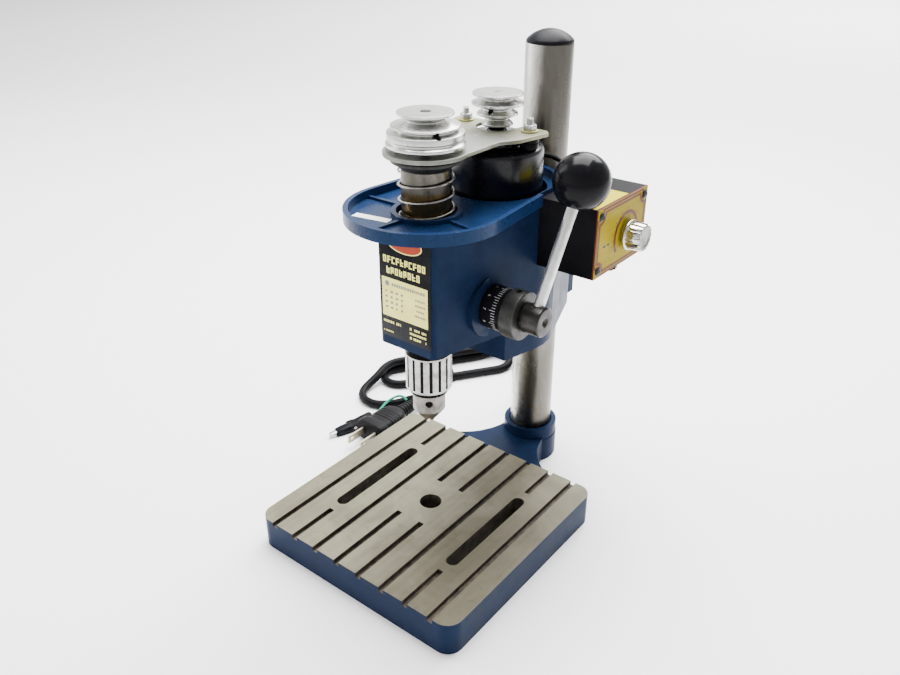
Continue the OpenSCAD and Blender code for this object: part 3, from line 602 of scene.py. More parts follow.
def zinc_plate():
    """Dull zinc that turns greenish yellow towards the plate's two ears."""
    f = Finish("zinc_plate", (0.36, 0.37, 0.34), 0.42, 0.85)
    cloud = f.noise(60, 6, 0.65, distortion=0.5)
    ears = f.ramp(f.maths("ADD", f.axis("Y"), f.maths("MULTIPLY", cloud, 0.02)), 0.050, 0.085)
    base = f.mix(f.ramp(cloud, 0.35, 0.7), (0.25, 0.255, 0.225), (0.125, 0.128, 0.112))
    f.colour(f.mix(f.maths("MULTIPLY", ears, 0.7), base, (0.27, 0.27, 0.13)))
    f.roughness(f.ramp(cloud, 0.3, 0.75, 0.34, 0.56))
    return f.bump(f.noise(700, 3), 0.2, 0.04).material


def chuck_chrome():
    """Ground steel whose upper ring and teeth are dark, with painted shade in the flute bottoms."""
    f = Finish("chuck_chrome", (0.36, 0.355, 0.345), 0.20, 1.0)
    soil = f.noise(170, 5, 0.65)
    radius = f.from_axis((0, 0, 0))
    # Painted shade: the flute bottoms turn nearly black.
    flute = f.ramp(radius, 13.98 * MM, 14.12 * MM, 1.0, 0.0)
    body = f.ramp(f.axis("Z"), 137.7 * MM, 138.1 * MM)
    teeth = f.ramp(f.axis("Z"), 113.6 * MM, 114.6 * MM, 0.75, 0.0)
    black = f.maths("MAXIMUM", flute, f.maths("MAXIMUM", body, teeth))
    steel = f.mix(f.ramp(soil, 0.45, 0.78), (0.38, 0.375, 0.365), (0.17, 0.158, 0.145))
    f.colour(f.mix(black, steel, (0.006, 0.006, 0.006)))
    f.roughness(f.ramp(soil, 0.3, 0.75, 0.17, 0.40))
    return f.bump(f.noise(1500, 2), 0.1, 0.02).material


def nose_steel():
    f = Finish("nose_steel", (0.20, 0.19, 0.175), 0.30, 1.0)
    soil = f.noise(210, 6, 0.68)
    low = f.ramp(f.axis("Z"), 92 * MM, 99 * MM, 1.0, 0.0)
    base = f.mix(f.ramp(soil, 0.42, 0.72), (0.21, 0.20, 0.185), (0.085, 0.074, 0.062))
    f.colour(f.mix(f.maths("MULTIPLY", low, 0.5), base, (0.14, 0.105, 0.07)))
    f.roughness(f.ramp(soil, 0.3, 0.75, 0.26, 0.5))
    return f.bump(soil, 0.2, 0.04).material


def printed(name, colour, roughness=0.35, metallic=0.0):
    f = Finish(name, colour, roughness, metallic, Specular_IOR_Level=0.06)
    age = f.noise(80, 5, 0.6)
    light = tuple(min(1, c * 1.15 + 0.004) for c in colour)
    f.colour(f.mix(f.ramp(age, 0.35, 0.7), colour, light))
    f.roughness(f.ramp(age, 0.3, 0.7, roughness - 0.05, roughness + 0.1))
    return f.bump(f.noise(900, 2), 0.06, 0.02).material


def chrome():
    f = Finish("chrome_knob", (0.60, 0.60, 0.58), 0.10, 1.0)
    soil = f.noise(220, 4, 0.6)
    f.colour(f.mix(f.ramp(soil, 0.5, 0.8), (0.60, 0.60, 0.58), (0.32, 0.32, 0.30)))
    f.roughness(f.ramp(soil, 0.35, 0.75, 0.07, 0.24))
    return f.bump(f.noise(1200, 2), 0.05, 0.02).material


def gold_panel():
    f = Finish("gold_panel", (0.30, 0.235, 0.012), 0.34, 0.0, Specular_IOR_Level=0.02)
    grain = f.noise(700, 3, 0.6, stretch=(1, 0.05, 1))
    cloud = f.noise(40, 4, 0.6)
    f.colour(f.mix(f.ramp(cloud, 0.3, 0.7), (0.32, 0.245, 0.010), (0.24, 0.182, 0.008)))
    f.roughness(f.ramp(grain, 0.3, 0.7, 0.20, 0.34))
    return f.bump(grain, 0.08, 0.02).material


BLUE = blue_enamel()
SHADED_BLUE = shaded_enamel()
TABLE_TOP = machined_iron()
GROOVES = groove_iron()
COLUMN_STEEL = column_steel()
PULLEY_A = aluminium("spindle_aluminium", (0, 0, 0))
PULLEY_B = aluminium("motor_aluminium", (MOTOR.x, MOTOR.y, 0))
BRIGHT = plain_steel("bright_steel", (0.60, 0.60, 0.59), 0.22)
ROD = plain_steel("lever_steel", (0.66, 0.66, 0.65), 0.34, 0.75)
SPRING_STEEL = plain_steel("spring_steel", (0.50, 0.48, 0.44), 0.22, 0.4)
DARK_STEEL = plain_steel("dark_steel", (0.040, 0.040, 0.038), 0.38, 0.55, 0.8)
JAW_STEEL = plain_steel("jaw_steel", (0.20, 0.155, 0.105), 0.34, 0.55)
YELLOW_ZINC = plain_steel("yellow_zinc", (0.45, 0.43, 0.20), 0.36, 0.6)
BLACK_STEEL = black_steel()
BLACK_PAINT = black_paint()
MOTOR_BLACK = motor_gloss()
BALL_BLACK = ball_gloss()
CORD_RUBBER = rubber("cord_rubber", (0.0035, 0.0035, 0.004), 0.42)
PLUG_RUBBER = rubber("plug_rubber", (0.006, 0.006, 0.0065), 0.46)
CAP_PLASTIC = rubber("cap_plastic", (0.0045, 0.0045, 0.006), 0.34)
GREEN_WIRE = rubber("green_insulation", (0.012, 0.20, 0.13), 0.36)
IVORY_WIRE = rubber("ivory_insulation", (0.55, 0.52, 0.40), 0.40)
BRONZE = bronze_sleeve()
ZINC = zinc_plate()
CHUCK = chuck_chrome()
NOSE = nose_steel()
CHROME = chrome()
GOLD = gold_panel()
BRASS = plain_steel("bush_brass", (0.46, 0.33, 0.13), 0.30, 0.6)
PIN_METAL = plain_steel("pin_metal", (0.55, 0.50, 0.38), 0.34, 0.7)
COPPER = plain_steel("copper_windings", (0.50, 0.20, 0.09), 0.40, 0.5)
BOARD = printed("board_green", (0.012, 0.10, 0.04), 0.30)
LABEL_BLACK = printed("label_black", (0.007, 0.007, 0.009), 0.26)
LABEL_CREAM = printed("label_cream", (0.90, 0.84, 0.25), 0.45)
LABEL_RED = printed("label_red", (0.34, 0.045, 0.022), 0.34)
LABEL_GREY = printed("label_grey", (0.20, 0.20, 0.19), 0.40)
PAPER_WHITE = printed("paper_white", (0.82, 0.82, 0.81), 0.6)
PAPER_YELLOW = printed("paper_yellow", (0.40, 0.35, 0.0), 0.6)
PANEL_RED = printed("panel_red", (0.10, 0.018, 0.010), 0.34)
MARK_WHITE = printed("mark_white", (0.42, 0.42, 0.41), 0.45)


# ---------- standing in for CAD nodes ----------


def stand(piece, *nodes):
    """The piece shows in place of these CAD nodes and rides on their body."""
    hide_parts(*nodes)
    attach(piece, NODES[nodes[0]]["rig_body"])
    return piece


def restyled(node, name, width, segments, material):
    """The node's own shape with eased edges and one finish, standing for the node."""
    piece = softened(node, width, segments, name)
    piece.data.materials.append(material)
    return stand(piece, node)


def keep(node, material):
    """A CAD node whose shape is right: it gets its finish and smooth shading."""
    mesh = NODES[node].data
    mesh.materials.clear()
    mesh.materials.append(material)
    shade(mesh, NODE_SHARP)


# ---------- mains cord ----------

CORD_R = 3.5
FLOOR_Z = 3.6
PLUG_Z = 9.6
COLUMN_Y = COLUMN.y / MM
DROP_WAY = (-0.618, 0.786)


def behind(reach, z):
    return DROP_WAY[0] * reach, COLUMN_Y + DROP_WAY[1] * reach, z


def metres(points):
    return [Vector(p) * MM for p in points]


HANK_FAR, HANK_NEAR = Vector((-95, 208, 0)), Vector((-146, 134, 0))
HANK_WAY = (HANK_FAR - HANK_NEAR).normalized()
HANK_SIDE = Vector((-HANK_WAY.y, HANK_WAY.x, 0))
HANK_LANE = 14


def fold(centre, start, stop, z0, z1, steps=10):
    """Half a turn round one end of the hank; angles run from the hank's own direction."""
    out = []
    for i in range(steps + 1):
        t = i / steps
        a = math.radians(start + (stop - start) * t)
        out.append(centre + (HANK_WAY * math.cos(a) + HANK_SIDE * math.sin(a)) * HANK_LANE
                   + Vector((0, 0, z0 + (z1 - z0) * t * t * (3 - 2 * t))))
    return out


def straight(start, stop, count=6):
    a, b = Vector(start), Vector(stop)
    return [a + (b - a) * i / count for i in range(1, count)]


def lane(end, side, z):
    return end + HANK_SIDE * HANK_LANE * side + Vector((0, 0, z))


def hank_route():
    low, high = FLOOR_Z, FLOOR_Z + 2 * CORD_R + 0.15
    route = straight(lane(HANK_FAR, 1, low), lane(HANK_NEAR, 1, low), 8)
    route += fold(HANK_NEAR, 90, 270, low, low)
    route += straight(lane(HANK_NEAR, -1, low), lane(HANK_FAR, -1, low), 8)
    route += fold(HANK_FAR, -90, 90, low, high)
    route += straight(lane(HANK_FAR, 1, high), lane(HANK_NEAR, 1, high), 8)
    return route + [lane(HANK_NEAR, 1, high), Vector((-158.6, 129.5, high))]


def make_cords():
    drop = smooth_route(metres([
        behind(40, 153), behind(44, 148.5), behind(49, 142), behind(53, 134), behind(56, 125),
        behind(57.5, 115), behind(58, 105), behind(58, 93), behind(58, 81), behind(58, 70), behind(58, 60),
    ]), 2 * MM)
    upper = tube("mains_cord_upper", drop, CORD_R * MM, 24, CORD_RUBBER)
    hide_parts("mains_cord_drop")
    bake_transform(upper)

    ground = [
        behind(58, 60), behind(58, 56), behind(58.5, 48), behind(60.5, 37), behind(65, 26), behind(72, 16),
        behind(81, 9), behind(92, 4.6), (-66, 202, FLOOR_Z), (-73, 213, FLOOR_Z), (-79.5, 223.5, FLOOR_Z),
        (-88.5, 230, FLOOR_Z), (-99.5, 230, FLOOR_Z), (-107.5, 223, FLOOR_Z),
    ]
    tail = [
        (-155.5, 118, 9.2), (-156.5, 107.5, 5.2), (-154.6, 96.5, FLOOR_Z), (-147, 88.4, FLOOR_Z),
        (-136, 86, FLOOR_Z), (-126.5, 90, FLOOR_Z), (-119, 97, 4.1), (-113, 104, 5.6), (-107.5, 110, 8.0),
        (-102.4, 110.5, 9.4), (-100.5, 106, PLUG_Z), (-100.5, 101, PLUG_Z),
    ]
    whole = metres(ground) + metres(hank_route()) + metres(tail)
    lower_route = relaxed(smooth_route(whole, 2 * MM), 2 * MM, 10)
    lower = tube("mains_cord_lower", lower_route, CORD_R * MM, 24, CORD_RUBBER)
    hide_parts("mains_cord_run", "mains_cord_hank", "mains_cord_tail")
    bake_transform(lower)

    wire_route = smooth_route(metres([
        (-106, 98, 12.4), (-109.5, 98, 14), (-114, 97.5, 13.4), (-118.5, 95, 10.8), (-121.5, 89.5, 7.6),
        (-121.5, 82, 4.6), (-120, 73, 3.4),
    ]), 1 * MM)
    wire = tube("earth_lead", wire_route, 1.0 * MM, 12, GREEN_WIRE)
    stand(wire, "earth_wire")
    plug = make_plug()
    pins = restyled("plug_pins", "plug_blades", 0.25, 2, PIN_METAL)
    pieces = [plug, pins, make_tie()] + make_clip()


def loft(name, sections, matrix, material):
    """A closed body through rounded-box sections: (place along, half width, half height, centre's height)."""
    power, steps = 4, 40
    verts, faces = [], []
    for along, wide, high, lift in sections:
        for k in range(steps):
            a = TURN * (k + 0.5) / steps
            c, s = math.cos(a), math.sin(a)
            size = (abs(c) ** power + abs(s) ** power) ** (-1 / power)
            verts.append(matrix @ (Vector((along, wide * c * size, lift + high * s * size)) * MM))
    rings = len(sections)
    for i in range(rings - 1):
        for k in range(steps):
            m = (k + 1) % steps
            faces.append([i * steps + k, i * steps + m, (i + 1) * steps + m, (i + 1) * steps + k])
    faces += [list(range(steps))[::-1], [(rings - 1) * steps + k for k in range(steps)]]
    return from_lists(name, verts, faces, material, 45)


PLUG_PLACE = place(-100.5, 102, PLUG_Z, (-90, "Z"))


def make_plug():
    neck_place = PLUG_PLACE @ place(0, 0, 0, (90, "Y"))
    profile = [(0.2, 0), (4.6, 0)]
    for i in range(6):
        z = 1.5 + i * 3
        r = 4.7 + i * 0.22
        profile += [(r, z), (r, z + 1.6), (r - 0.7, z + 1.9), (r - 0.7, z + 2.7)]
    profile += [(6.2, 20.4), (6.2, 22), (0.2, 22)]
    neck = lathe("plug_neck", eased(profile, 0.25, 2), neck_place, PLUG_RUBBER, 40)
    body = loft("plug_grip", [
        (19.6, 5.0, 4.6, 0), (20.2, 6.6, 5.8, 0), (22.5, 9.6, 7.0, -0.4), (27, 11.6, 7.5, -0.5),
        (34, 11.9, 7.5, -0.5), (41, 11.2, 7.2, -0.5), (45, 11.0, 7.2, -0.5), (46.0, 12.9, 8.6, -0.5),
        (47.2, 13.4, 9.0, -0.5), (53.6, 13.4, 9.0, -0.5), (54.6, 12.9, 8.6, -0.5), (54.9, 12.2, 8.0, -0.5),
    ], PLUG_PLACE, PLUG_RUBBER)
    ribs = [
        loft("plug_rib", [(x, 11.3, 7.15, -0.5), (x + 0.4, 12.05, 7.75, -0.5), (x + 1.2, 12.05, 7.75, -0.5),
                          (x + 1.6, 11.3, 7.15, -0.5)], PLUG_PLACE, PLUG_RUBBER)
        for x in (28.5, 31.5, 34.5, 37.5)
    ]
    return stand(joined("plug_moulding", [neck, body] + ribs), "plug_body")


def hull(points):
    """Convex hull of (x, y) pairs, counter-clockwise."""
    points = sorted(set(points))

    def half(row):
        out = []
        for p in row:
            while len(out) > 1 and (out[-1][0] - out[-2][0]) * (p[1] - out[-2][1]) <= \
                    (out[-1][1] - out[-2][1]) * (p[0] - out[-2][0]):
                out.pop()
            out.append(p)
        return out[:-1]

    return half(points) + half(points[::-1])


def make_tie():
    """A strap pulled tight round the hank's three runs, with its head on top of the stacked pair."""
    def round_runs(r):
        rows = [(HANK_LANE, FLOOR_Z), (HANK_LANE, FLOOR_Z + 2 * CORD_R + 0.15), (-HANK_LANE, FLOOR_Z)]
        return hull([(round(x + r * math.cos(TURN * k / 32), 4), round(z + r * math.sin(TURN * k / 32), 4))
                     for x, z in rows for k in range(32)])

    centre = (HANK_FAR + HANK_NEAR) / 2
    basis = Matrix((HANK_SIDE, Vector((0, 0, 1)), HANK_SIDE.cross(Vector((0, 0, 1))))).transposed().to_4x4()
    matrix = Matrix.Translation(centre * MM) @ basis
    inner, outer = round_runs(CORD_R - 0.02), round_runs(CORD_R + 0.9)
    band_out = prism("band", outer, -1.4, 1.4, matrix, CAP_PLASTIC)
    cut = prism("band_hole", inner, -4, 4, matrix)
    band = eased_edges(cut_away(band_out, cut), 0.2, 2)
    head_place = matrix @ Matrix.Translation(Vector((8.5, 11.6,
                                                     0)) * MM) @ Matrix.Rotation(math.radians(-13), 4, "Z")
    head = block("tie_head", (-2.6, -1.6, -2.2), (2.6, 2.2, 2.2), CAP_PLASTIC, 0.5, head_place)
    end = block("tie_end", (-9.5, 0.2, -1.3), (-2.0, 1.0, 1.3), CAP_PLASTIC, 0.25, head_place)
    return stand(joined("hank_tie", [band, head, end]), "cord_tie")


def cut_away(piece, cutter):
    modifier = piece.modifiers.new("cut", "BOOLEAN")
    modifier.operation = "DIFFERENCE"
    modifier.solver = "EXACT"
    modifier.object = cutter
    apply_modifiers(piece)
    bpy.data.objects.remove(cutter)
    shade(piece.data, CUT_SHARP)
    return piece


CLIP_PLACE = place(-120, 70, 4, (-105, "Z"))


def make_clip():
    """A small clip: two sleeved arms with plain metal jaws, and a pin through two cheeks."""
    lower = loft("clip_lower_sleeve", [
        (0, 3.4, 1.1, -2.8), (0.8, 4.3, 1.35, -2.7), (6, 4.9, 1.5, -2.6), (20, 4.9, 1.6, -2.6),
        (30, 4.2, 1.6, -2.5), (33.2, 3.4, 1.5, -2.5), (34, 2.6, 1.2, -2.5),
    ], CLIP_PLACE, CAP_PLASTIC)
    jaw_low = loft("clip_lower_jaw", [
        (32, 2.2, 0.9, -2.5), (36, 2.0, 0.95, -2.4), (38.2, 1.8, 0.9, -2.3), (38.9, 1.5, 0.7, -2.2),
    ], CLIP_PLACE, BRIGHT)
    cheeks = [block("clip_cheek", (15, y, -2.2), (21.5, y + 0.9, 2.2), CAP_PLASTIC, 0.35,
                    CLIP_PLACE) for y in (-4.9, 4.0)]
    pin = lathe("clip_pin", eased([(0.05, -5.2), (1.3, -5.2), (1.3, -4.9), (0.8, -4.9), (0.8, 4.9),
                                   (1.3, 4.9), (1.3, 5.2), (0.05, 5.2)], 0.1, 2),
                CLIP_PLACE @ place(18, 0, 0, (90, "X")), BRIGHT, 24)
    fixed = stand(joined("clip_fixed_half", [lower, jaw_low, pin] + cheeks), "clip_jaw_fixed")
    tilt = CLIP_PLACE @ place(0, 0, 3, (8, "Y"))
    upper = loft("clip_upper_sleeve", [
        (0, 2.6, 0.9, 0.7), (0.8, 3.3, 1.1, 0.7), (8, 3.7, 1.2, 0.7), (17, 3.7, 1.25, 0.7),
        (20.5, 3.2, 1.1, 0.6), (21.3, 2.4, 0.8, 0.6),
    ], tilt, CAP_PLASTIC)
    nose = loft("clip_nose_sleeve", [
        (17, 2.8, 1.0, 0.9), (19, 3.6, 1.5, 0.7), (27, 3.6, 1.5, 0.3), (32.4, 3.0, 1.35, -0.1),
        (33.2, 2.3, 1.0, -0.2),
    ], CLIP_PLACE, CAP_PLASTIC)
    jaw_high = loft("clip_upper_jaw", [
        (31, 2.1, 0.9, -0.2), (36, 1.9, 0.85, -0.5), (38.2, 1.6, 0.7, -0.6), (38.9, 1.3, 0.5, -0.65),
    ], CLIP_PLACE, BRIGHT)
    moving = stand(joined("clip_moving_half", [upper, nose, jaw_high]), "clip_jaw_moving")
    return [fixed, moving]


make_cords()


# ---------- table ----------

def make_table():
    piece = softened("table_base", 0.45, 2, "table_casting")
    mesh = piece.data
    for material in (SHADED_BLUE, TABLE_TOP, GROOVES):
        mesh.materials.append(material)
    rim, end_zone, top_band = 0.6 * MM, 1.5 * MM, 0.46 * MM
    half, front, back = TABLE_HIGH.x - rim, TABLE_LOW.y + rim, SLAB_BACK - rim
    collar_bore = 16.6 * MM
    for face in mesh.polygons:
        c, n = face.center, face.normal
        on_slab = c.y < SLAB_BACK + 0.4 * MM
        inside = abs(c.x) < half and front < c.y < back
        groove_end = abs(n.y) > 0.3 and not front + end_zone < c.y < back - end_zone
        if on_slab and c.z > TABLE_H - top_band and (n.z > 0.25 or inside):
            face.material_index = 1
        elif n.z < -0.7 or (on_slab and inside and not corner_wall(c) and not groove_end):
            face.material_index = 2
        elif (c.xy - COLUMN.xy).length < collar_bore and abs(n.z) < 0.5:
            face.material_index = 2
    return stand(piece, "table_base")


def corner_wall(c):
    """True on the slab's rounded corners."""
    x, y = abs(c.x) / MM, c.y / MM
    edge_x = TABLE_HIGH.x / MM - SLAB_CORNER
    front, back = TABLE_LOW.y / MM + SLAB_CORNER, SLAB_BACK / MM - SLAB_CORNER
    if x < edge_x or front < y < back:
        return False
    centre_y = front if y < front else back
    return math.hypot(x - edge_x, y - centre_y) > SLAB_CORNER - 0.7


def make_column():
    tube_piece = lathe("column_bar", eased([(12, 2), (15, 2), (15, 301.4), (12, 301.4)], 0.5, 2),
                       place(0, COLUMN_Y, 0), COLUMN_STEEL, 128)
    stand(tube_piece, "column_tube")
    top = COLUMN_TOP / MM
    dome = [(0.05, top - 8), (11.9, top - 8), (11.9, top), (14.75, top + 0.05), (14.9, top + 0.9)]
    dome += [(20 * math.sin(math.radians(a)), top - 12 + 20 * math.cos(math.radians(a))) for a in range(46,
                                                                                                        0,
                                                                                                        -5)]
    dome.append((0.05, top + 8))
    cap = lathe("column_end_cap", eased(dome, 0.35, 2), place(0, COLUMN_Y, 0), CAP_PLASTIC, 96)
    stand(cap, "column_cap")


make_table()
make_column()
keep("collar_screw", BLACK_STEEL)


# ---------- head ----------

def make_head():
    piece = softened("head_casting", 1.1, 3, "head_shell")
    mesh = piece.data
    for material in (BLUE, SHADED_BLUE, DARK_STEEL):
        mesh.materials.append(material)
    quill_bore, column_bore, tray_z = 14.4 * MM, 15.4 * MM, 221 * MM
    for face in mesh.polygons:
        c = face.center
        in_quill_bore = c.xy.length < quill_bore
        in_column_bore = (c.xy - COLUMN.xy).length < column_bore
        # Painted shade: the walls inside the quill and column bores take dark steel.
        if (in_quill_bore or in_column_bore) and abs(face.normal.z) < 0.5:
            face.material_index = 2
        # Painted shade: faces below the tray floor take the darker, less glossy blue.
        elif c.z < tray_z:
            face.material_index = 1
    return stand(piece, "head_casting")


def flat_on(name, outline, y, material, depth=0.08):
    """A thin shape on the head's front: outline is (x, z) pairs, and y is the face it lies on."""
    matrix = Matrix.Translation((0, y * MM, 0)) @ Matrix.Rotation(math.radians(90), 4, "X")
    return prism(name, outline, 0, depth, matrix, material)


def ellipse(cx, cz, a, b, steps=64):
    return [(cx + a * math.cos(TURN * k / steps), cz + b * math.sin(TURN * k / steps)) for k in range(steps)]


def box_outline(x0, z0, x1, z1, r=0.0, steps=6):
    if not r:
        return [(x0, z0), (x1, z0), (x1, z1), (x0, z1)]
    return (arc(x1 - r, z1 - r, r, 0, 90, steps) + arc(x0 + r, z1 - r, r, 90, 180, steps)
            + arc(x0 + r, z0 + r, r, 180, 270, steps) + arc(x1 - r, z0 + r, r, 270, 360, steps))


def dashes(name, x0, x1, z, high, material, layer, seed, fill=0.72):
    """A row of short blocks of uneven length, as a line of small print looks from a distance."""
    pick = random.Random(seed)
    pieces, x = [], x0
    while x < x1:
        w = min(pick.uniform(0.6, 1.5) * high * 0.9, x1 - x)
        if pick.random() < fill + 0.2:
            pieces.append(flat_on(name, box_outline(x, z, x + w * fill, z + high), layer, material, 0.06))
        x += w
    return pieces


def strokes(name, x0, x1, z, high, material, layer, seed):
    """A row of plain upright strokes with short arms: it has the weight of a heading, and spells nothing."""
    pick = random.Random(seed)
    pieces, x = [], x0
    pen, wide = high * 0.2, high * 0.55
    while x + wide < x1:
        shapes = [box_outline(x, z, x + pen, z + high)]
        for level in pick.sample((0, 0.4, 0.8), 2):
            shapes.append(box_outline(x + pen - 0.02, z + high * level, x + wide, z + high * level + pen))
        if pick.random() < 0.5:
            shapes.append(box_outline(x + wide - pen, z + pen, x + wide, z + high - pen))
        pieces += [flat_on(name, shape, layer - 0.01 * k, material, 0.06) for k, shape in enumerate(shapes)]
        x += wide + high * 0.2
    return pieces


def make_label():
    low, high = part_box("label_plate")
    x0, x1, z0, z1 = low.x / MM, high.x / MM, low.z / MM, high.z / MM
    y = low.y / MM
    plate = flat_on("label_back", box_outline(x0, z0, x1, z1, 1.2), y + 0.62, LABEL_BLACK, 0.6)
    eased_edges(plate, 0.12, 2)
    mid = (x0 + x1) / 2
    parts = [
        plate,
        flat_on("badge_rim", ellipse(mid + 0.6, 212.2, 12.6, 5.6), y, LABEL_CREAM, 0.08),
        flat_on("badge", ellipse(mid + 0.6, 212.2, 11.9, 4.95), y, LABEL_RED, 0.14),
        flat_on("block", box_outline(x0 + 1.8, 165.2, x1 - 2.0, 189.6), y, LABEL_CREAM, 0.08),
    ]
    parts += strokes("heading_a", x0 + 3.4, x1 - 3.4, 198.9, 4.2, LABEL_CREAM, y, 3)
    parts += strokes("heading_b", x0 + 5.6, x1 - 6.0, 192.4, 4.2, LABEL_CREAM, y, 4)
    parts.append(flat_on("dot", ellipse(x0 + 5.8, 186.0, 1.6, 1.6, 24), y, LABEL_GREY, 0.13))
    parts += [flat_on("line", o, y, m, 0.13) for o, m in label_print(x0, x1)]
    for row in range(3):
        parts += dashes("foot", x1 - 15.5, x1 - 3.2, 160.9 - row * 2.9, 1.4, LABEL_CREAM, y, 20 + row, 0.7)
    parts += dashes("foot_left", x0 + 2.2, x0 + 15.5, 160.9, 1.5, LABEL_CREAM, y, 31, 0.7)
    parts += dashes("foot_low", x0 + 2.2, x0 + 9.5, 154.9, 0.9, LABEL_CREAM, y, 32, 0.7)
    stand(joined("front_label", parts), "label_plate")


def label_print(x0, x1):
    """Rows of plain bars on the pale block: a heading, then four rows with a short value at the right."""
    pick = random.Random(11)
    out = []
    x = x0 + 9.2
    while x < x1 - 5:
        w = pick.uniform(0.8, 1.5)
        out.append((box_outline(x, 185.1, x + w, 186.9), LABEL_GREY))
        x += w + 0.5
    for row in range(4):
        z = 180.4 - row * 3.3
        for k in range(4):
            x = x0 + 4.2 + k * 3.9
            out.append((box_outline(x, z, x + pick.uniform(1.1, 1.9), z + 1.3), LABEL_GREY))
        x = x1 - 9.5 - pick.uniform(0, 2.5)
        while x < x1 - 4.4:
            w = pick.uniform(0.6, 1.1)
            out.append((box_outline(x, z, x + w, z + 1.2), LABEL_GREY))
            x += w + 0.35
    return out


def make_clamp_bolt():
    low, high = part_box("clamp_bolt")
    centre = Vector((0, (low.y + high.y) / 2, (low.z + high.z) / 2)) / MM
    here = place(0, centre.y, centre.z, (90, "Y"))
    head = hexagon("bolt_head", 13, 12, 17.3, here, BLACK_STEEL)
    shank = lathe("bolt_shank", threads(4, -20, 12, 1.25), here, BLACK_STEEL, 40)
    stand(joined("clamp_screw", [head, shank]), "clamp_bolt")
    nut = hexagon("nut_body", 13, -18.5, -12, here, DARK_STEEL)
    washer = lathe("nut_washer", eased([(4.3, -12.9), (8.0, -12.9), (8.0, -12.05), (4.3, -12.05)], 0.2, 2),
                   here, DARK_STEEL, 48)
    stand(joined("clamp_hex_nut", [nut, washer]), "clamp_nut")


def hexagon(name, flats, low, high, matrix, material, bevel=0.5):
    r = flats / math.sqrt(3)
    outline = [(r * math.cos(TURN * k / 6), r * math.sin(TURN * k / 6)) for k in range(6)]
    return prism(name, outline, low, high, matrix, material, bevel)


def threads(radius, low, high, pitch):
    """A profile with a thread's crests, closed at the axis."""
    out = [(0.05, low), (radius - 0.6, low)]
    z = low + 0.5
    while z < high - pitch:
        out += [(radius - pitch * 0.3, z), (radius, z + pitch * 0.4), (radius, z + pitch * 0.55)]
        z += pitch
    return out + [(radius - pitch * 0.3, high - 0.2), (radius - pitch * 0.3, high), (0.05, high)]


make_head()
make_label()
restyled("tray_sticker", "tray_tag", 0.08, 1, PAPER_WHITE)
make_clamp_bolt()
keep("feed_bushes", BRASS)
keep("quill_key_screw", BLACK_STEEL)


# ---------- control box ----------

KNOB_Y, KNOB_Z = KNOB.y / MM, KNOB.z / MM
PANEL_Y0, PANEL_Y1 = PANEL_LOW.y / MM, PANEL_HIGH.y / MM
PANEL_Z0, PANEL_Z1 = PANEL_LOW.z / MM, PANEL_HIGH.z / MM
PANEL_X = PANEL_HIGH.x / MM


def on_panel(name, outline, material, depth=0.06):
    """A thin shape on the panel: outline is (y, z) pairs."""
    upright = Matrix(((0, 0, 1, 0), (1, 0, 0, 0), (0, 1, 0, 0), (0, 0, 0, 1)))
    matrix = Matrix.Translation((PANEL_X * MM, 0, 0)) @ upright
    return prism(name, outline, 0, depth, matrix, material)


def notched(inset, notch):
    """The panel's outline drawn in by inset, with each corner bitten away round its screw."""
    y0, y1, z0, z1 = PANEL_Y0 + inset, PANEL_Y1 - inset, PANEL_Z0 + inset, PANEL_Z1 - inset
    out = []
    for cy, cz, start in ((y0, z0, 90), (y1, z0, 180), (y1, z1, 270), (y0, z1, 360)):
        out += arc(cy, cz, notch, start, start - 90, 10)
    return out


def ring_of(name, outer, inner, material, depth=0.06):
    """The band between two outlines with the same number of points, on the panel."""
    count = len(outer)
    x0, x1 = PANEL_X, PANEL_X + depth
    verts = [(x * MM, y * MM, z * MM) for x in (x0, x1) for loop in (outer, inner) for y, z in loop]
    faces = []
    for k in range(count):
        m = (k + 1) % count
        faces += [
            [2 * count + k, 2 * count + m, 3 * count + m, 3 * count + k],
            [k, m, 2 * count + m, 2 * count + k],
            [count + k, count + m, 3 * count + m, 3 * count + k],
        ]
    return from_lists(name, verts, faces, material)


def sector(cy, cz, r0, r1, start, stop, steps=40):
    return arc(cy, cz, r1, start, stop, steps) + arc(cy, cz, r0, stop, start, steps)


def make_panel():
    body = softened("control_panel", 0.35, 2, "panel_plate")
    body.data.materials.append(GOLD)
    body.data.materials.append(BLACK_PAINT)
    body.data.materials.append(PANEL_RED)
    for face in body.data.polygons:
        if face.center.x < PANEL_LOW.x + 9.98 * MM:
            face.material_index = 1
        elif face.normal.x < 0.7:
            face.material_index = 2
    parts = [body]
    parts.append(ring_of("border_outer", notched(0.3, 5.6), notched(1.5, 5.6), PANEL_RED))
    parts.append(ring_of("border_inner", notched(2.2, 6.2), notched(3.7, 6.2), PANEL_RED))
    parts.append(on_panel("dial_arc", sector(KNOB_Y, KNOB_Z, 12.4, 14.6, -40, 220), PANEL_RED))
    for k in range(11):
        a = math.radians(-40 + 26 * k)
        cy, cz = KNOB_Y + 16.3 * math.cos(a), KNOB_Z + 16.3 * math.sin(a)
        if PANEL_Z0 + 4 < cz < PANEL_Z1 - 4:
            parts.append(on_panel("tick", ellipse(cy, cz, 0.55, 0.55, 16), PANEL_RED))
    for y in (PANEL_Y0 + 9, PANEL_Y0 + 13.2):
        parts.append(on_panel("mark", box_outline(y, 202.2, y + 2.6, 203.4), LABEL_BLACK))
    stand(joined("control_face", parts), "control_panel")


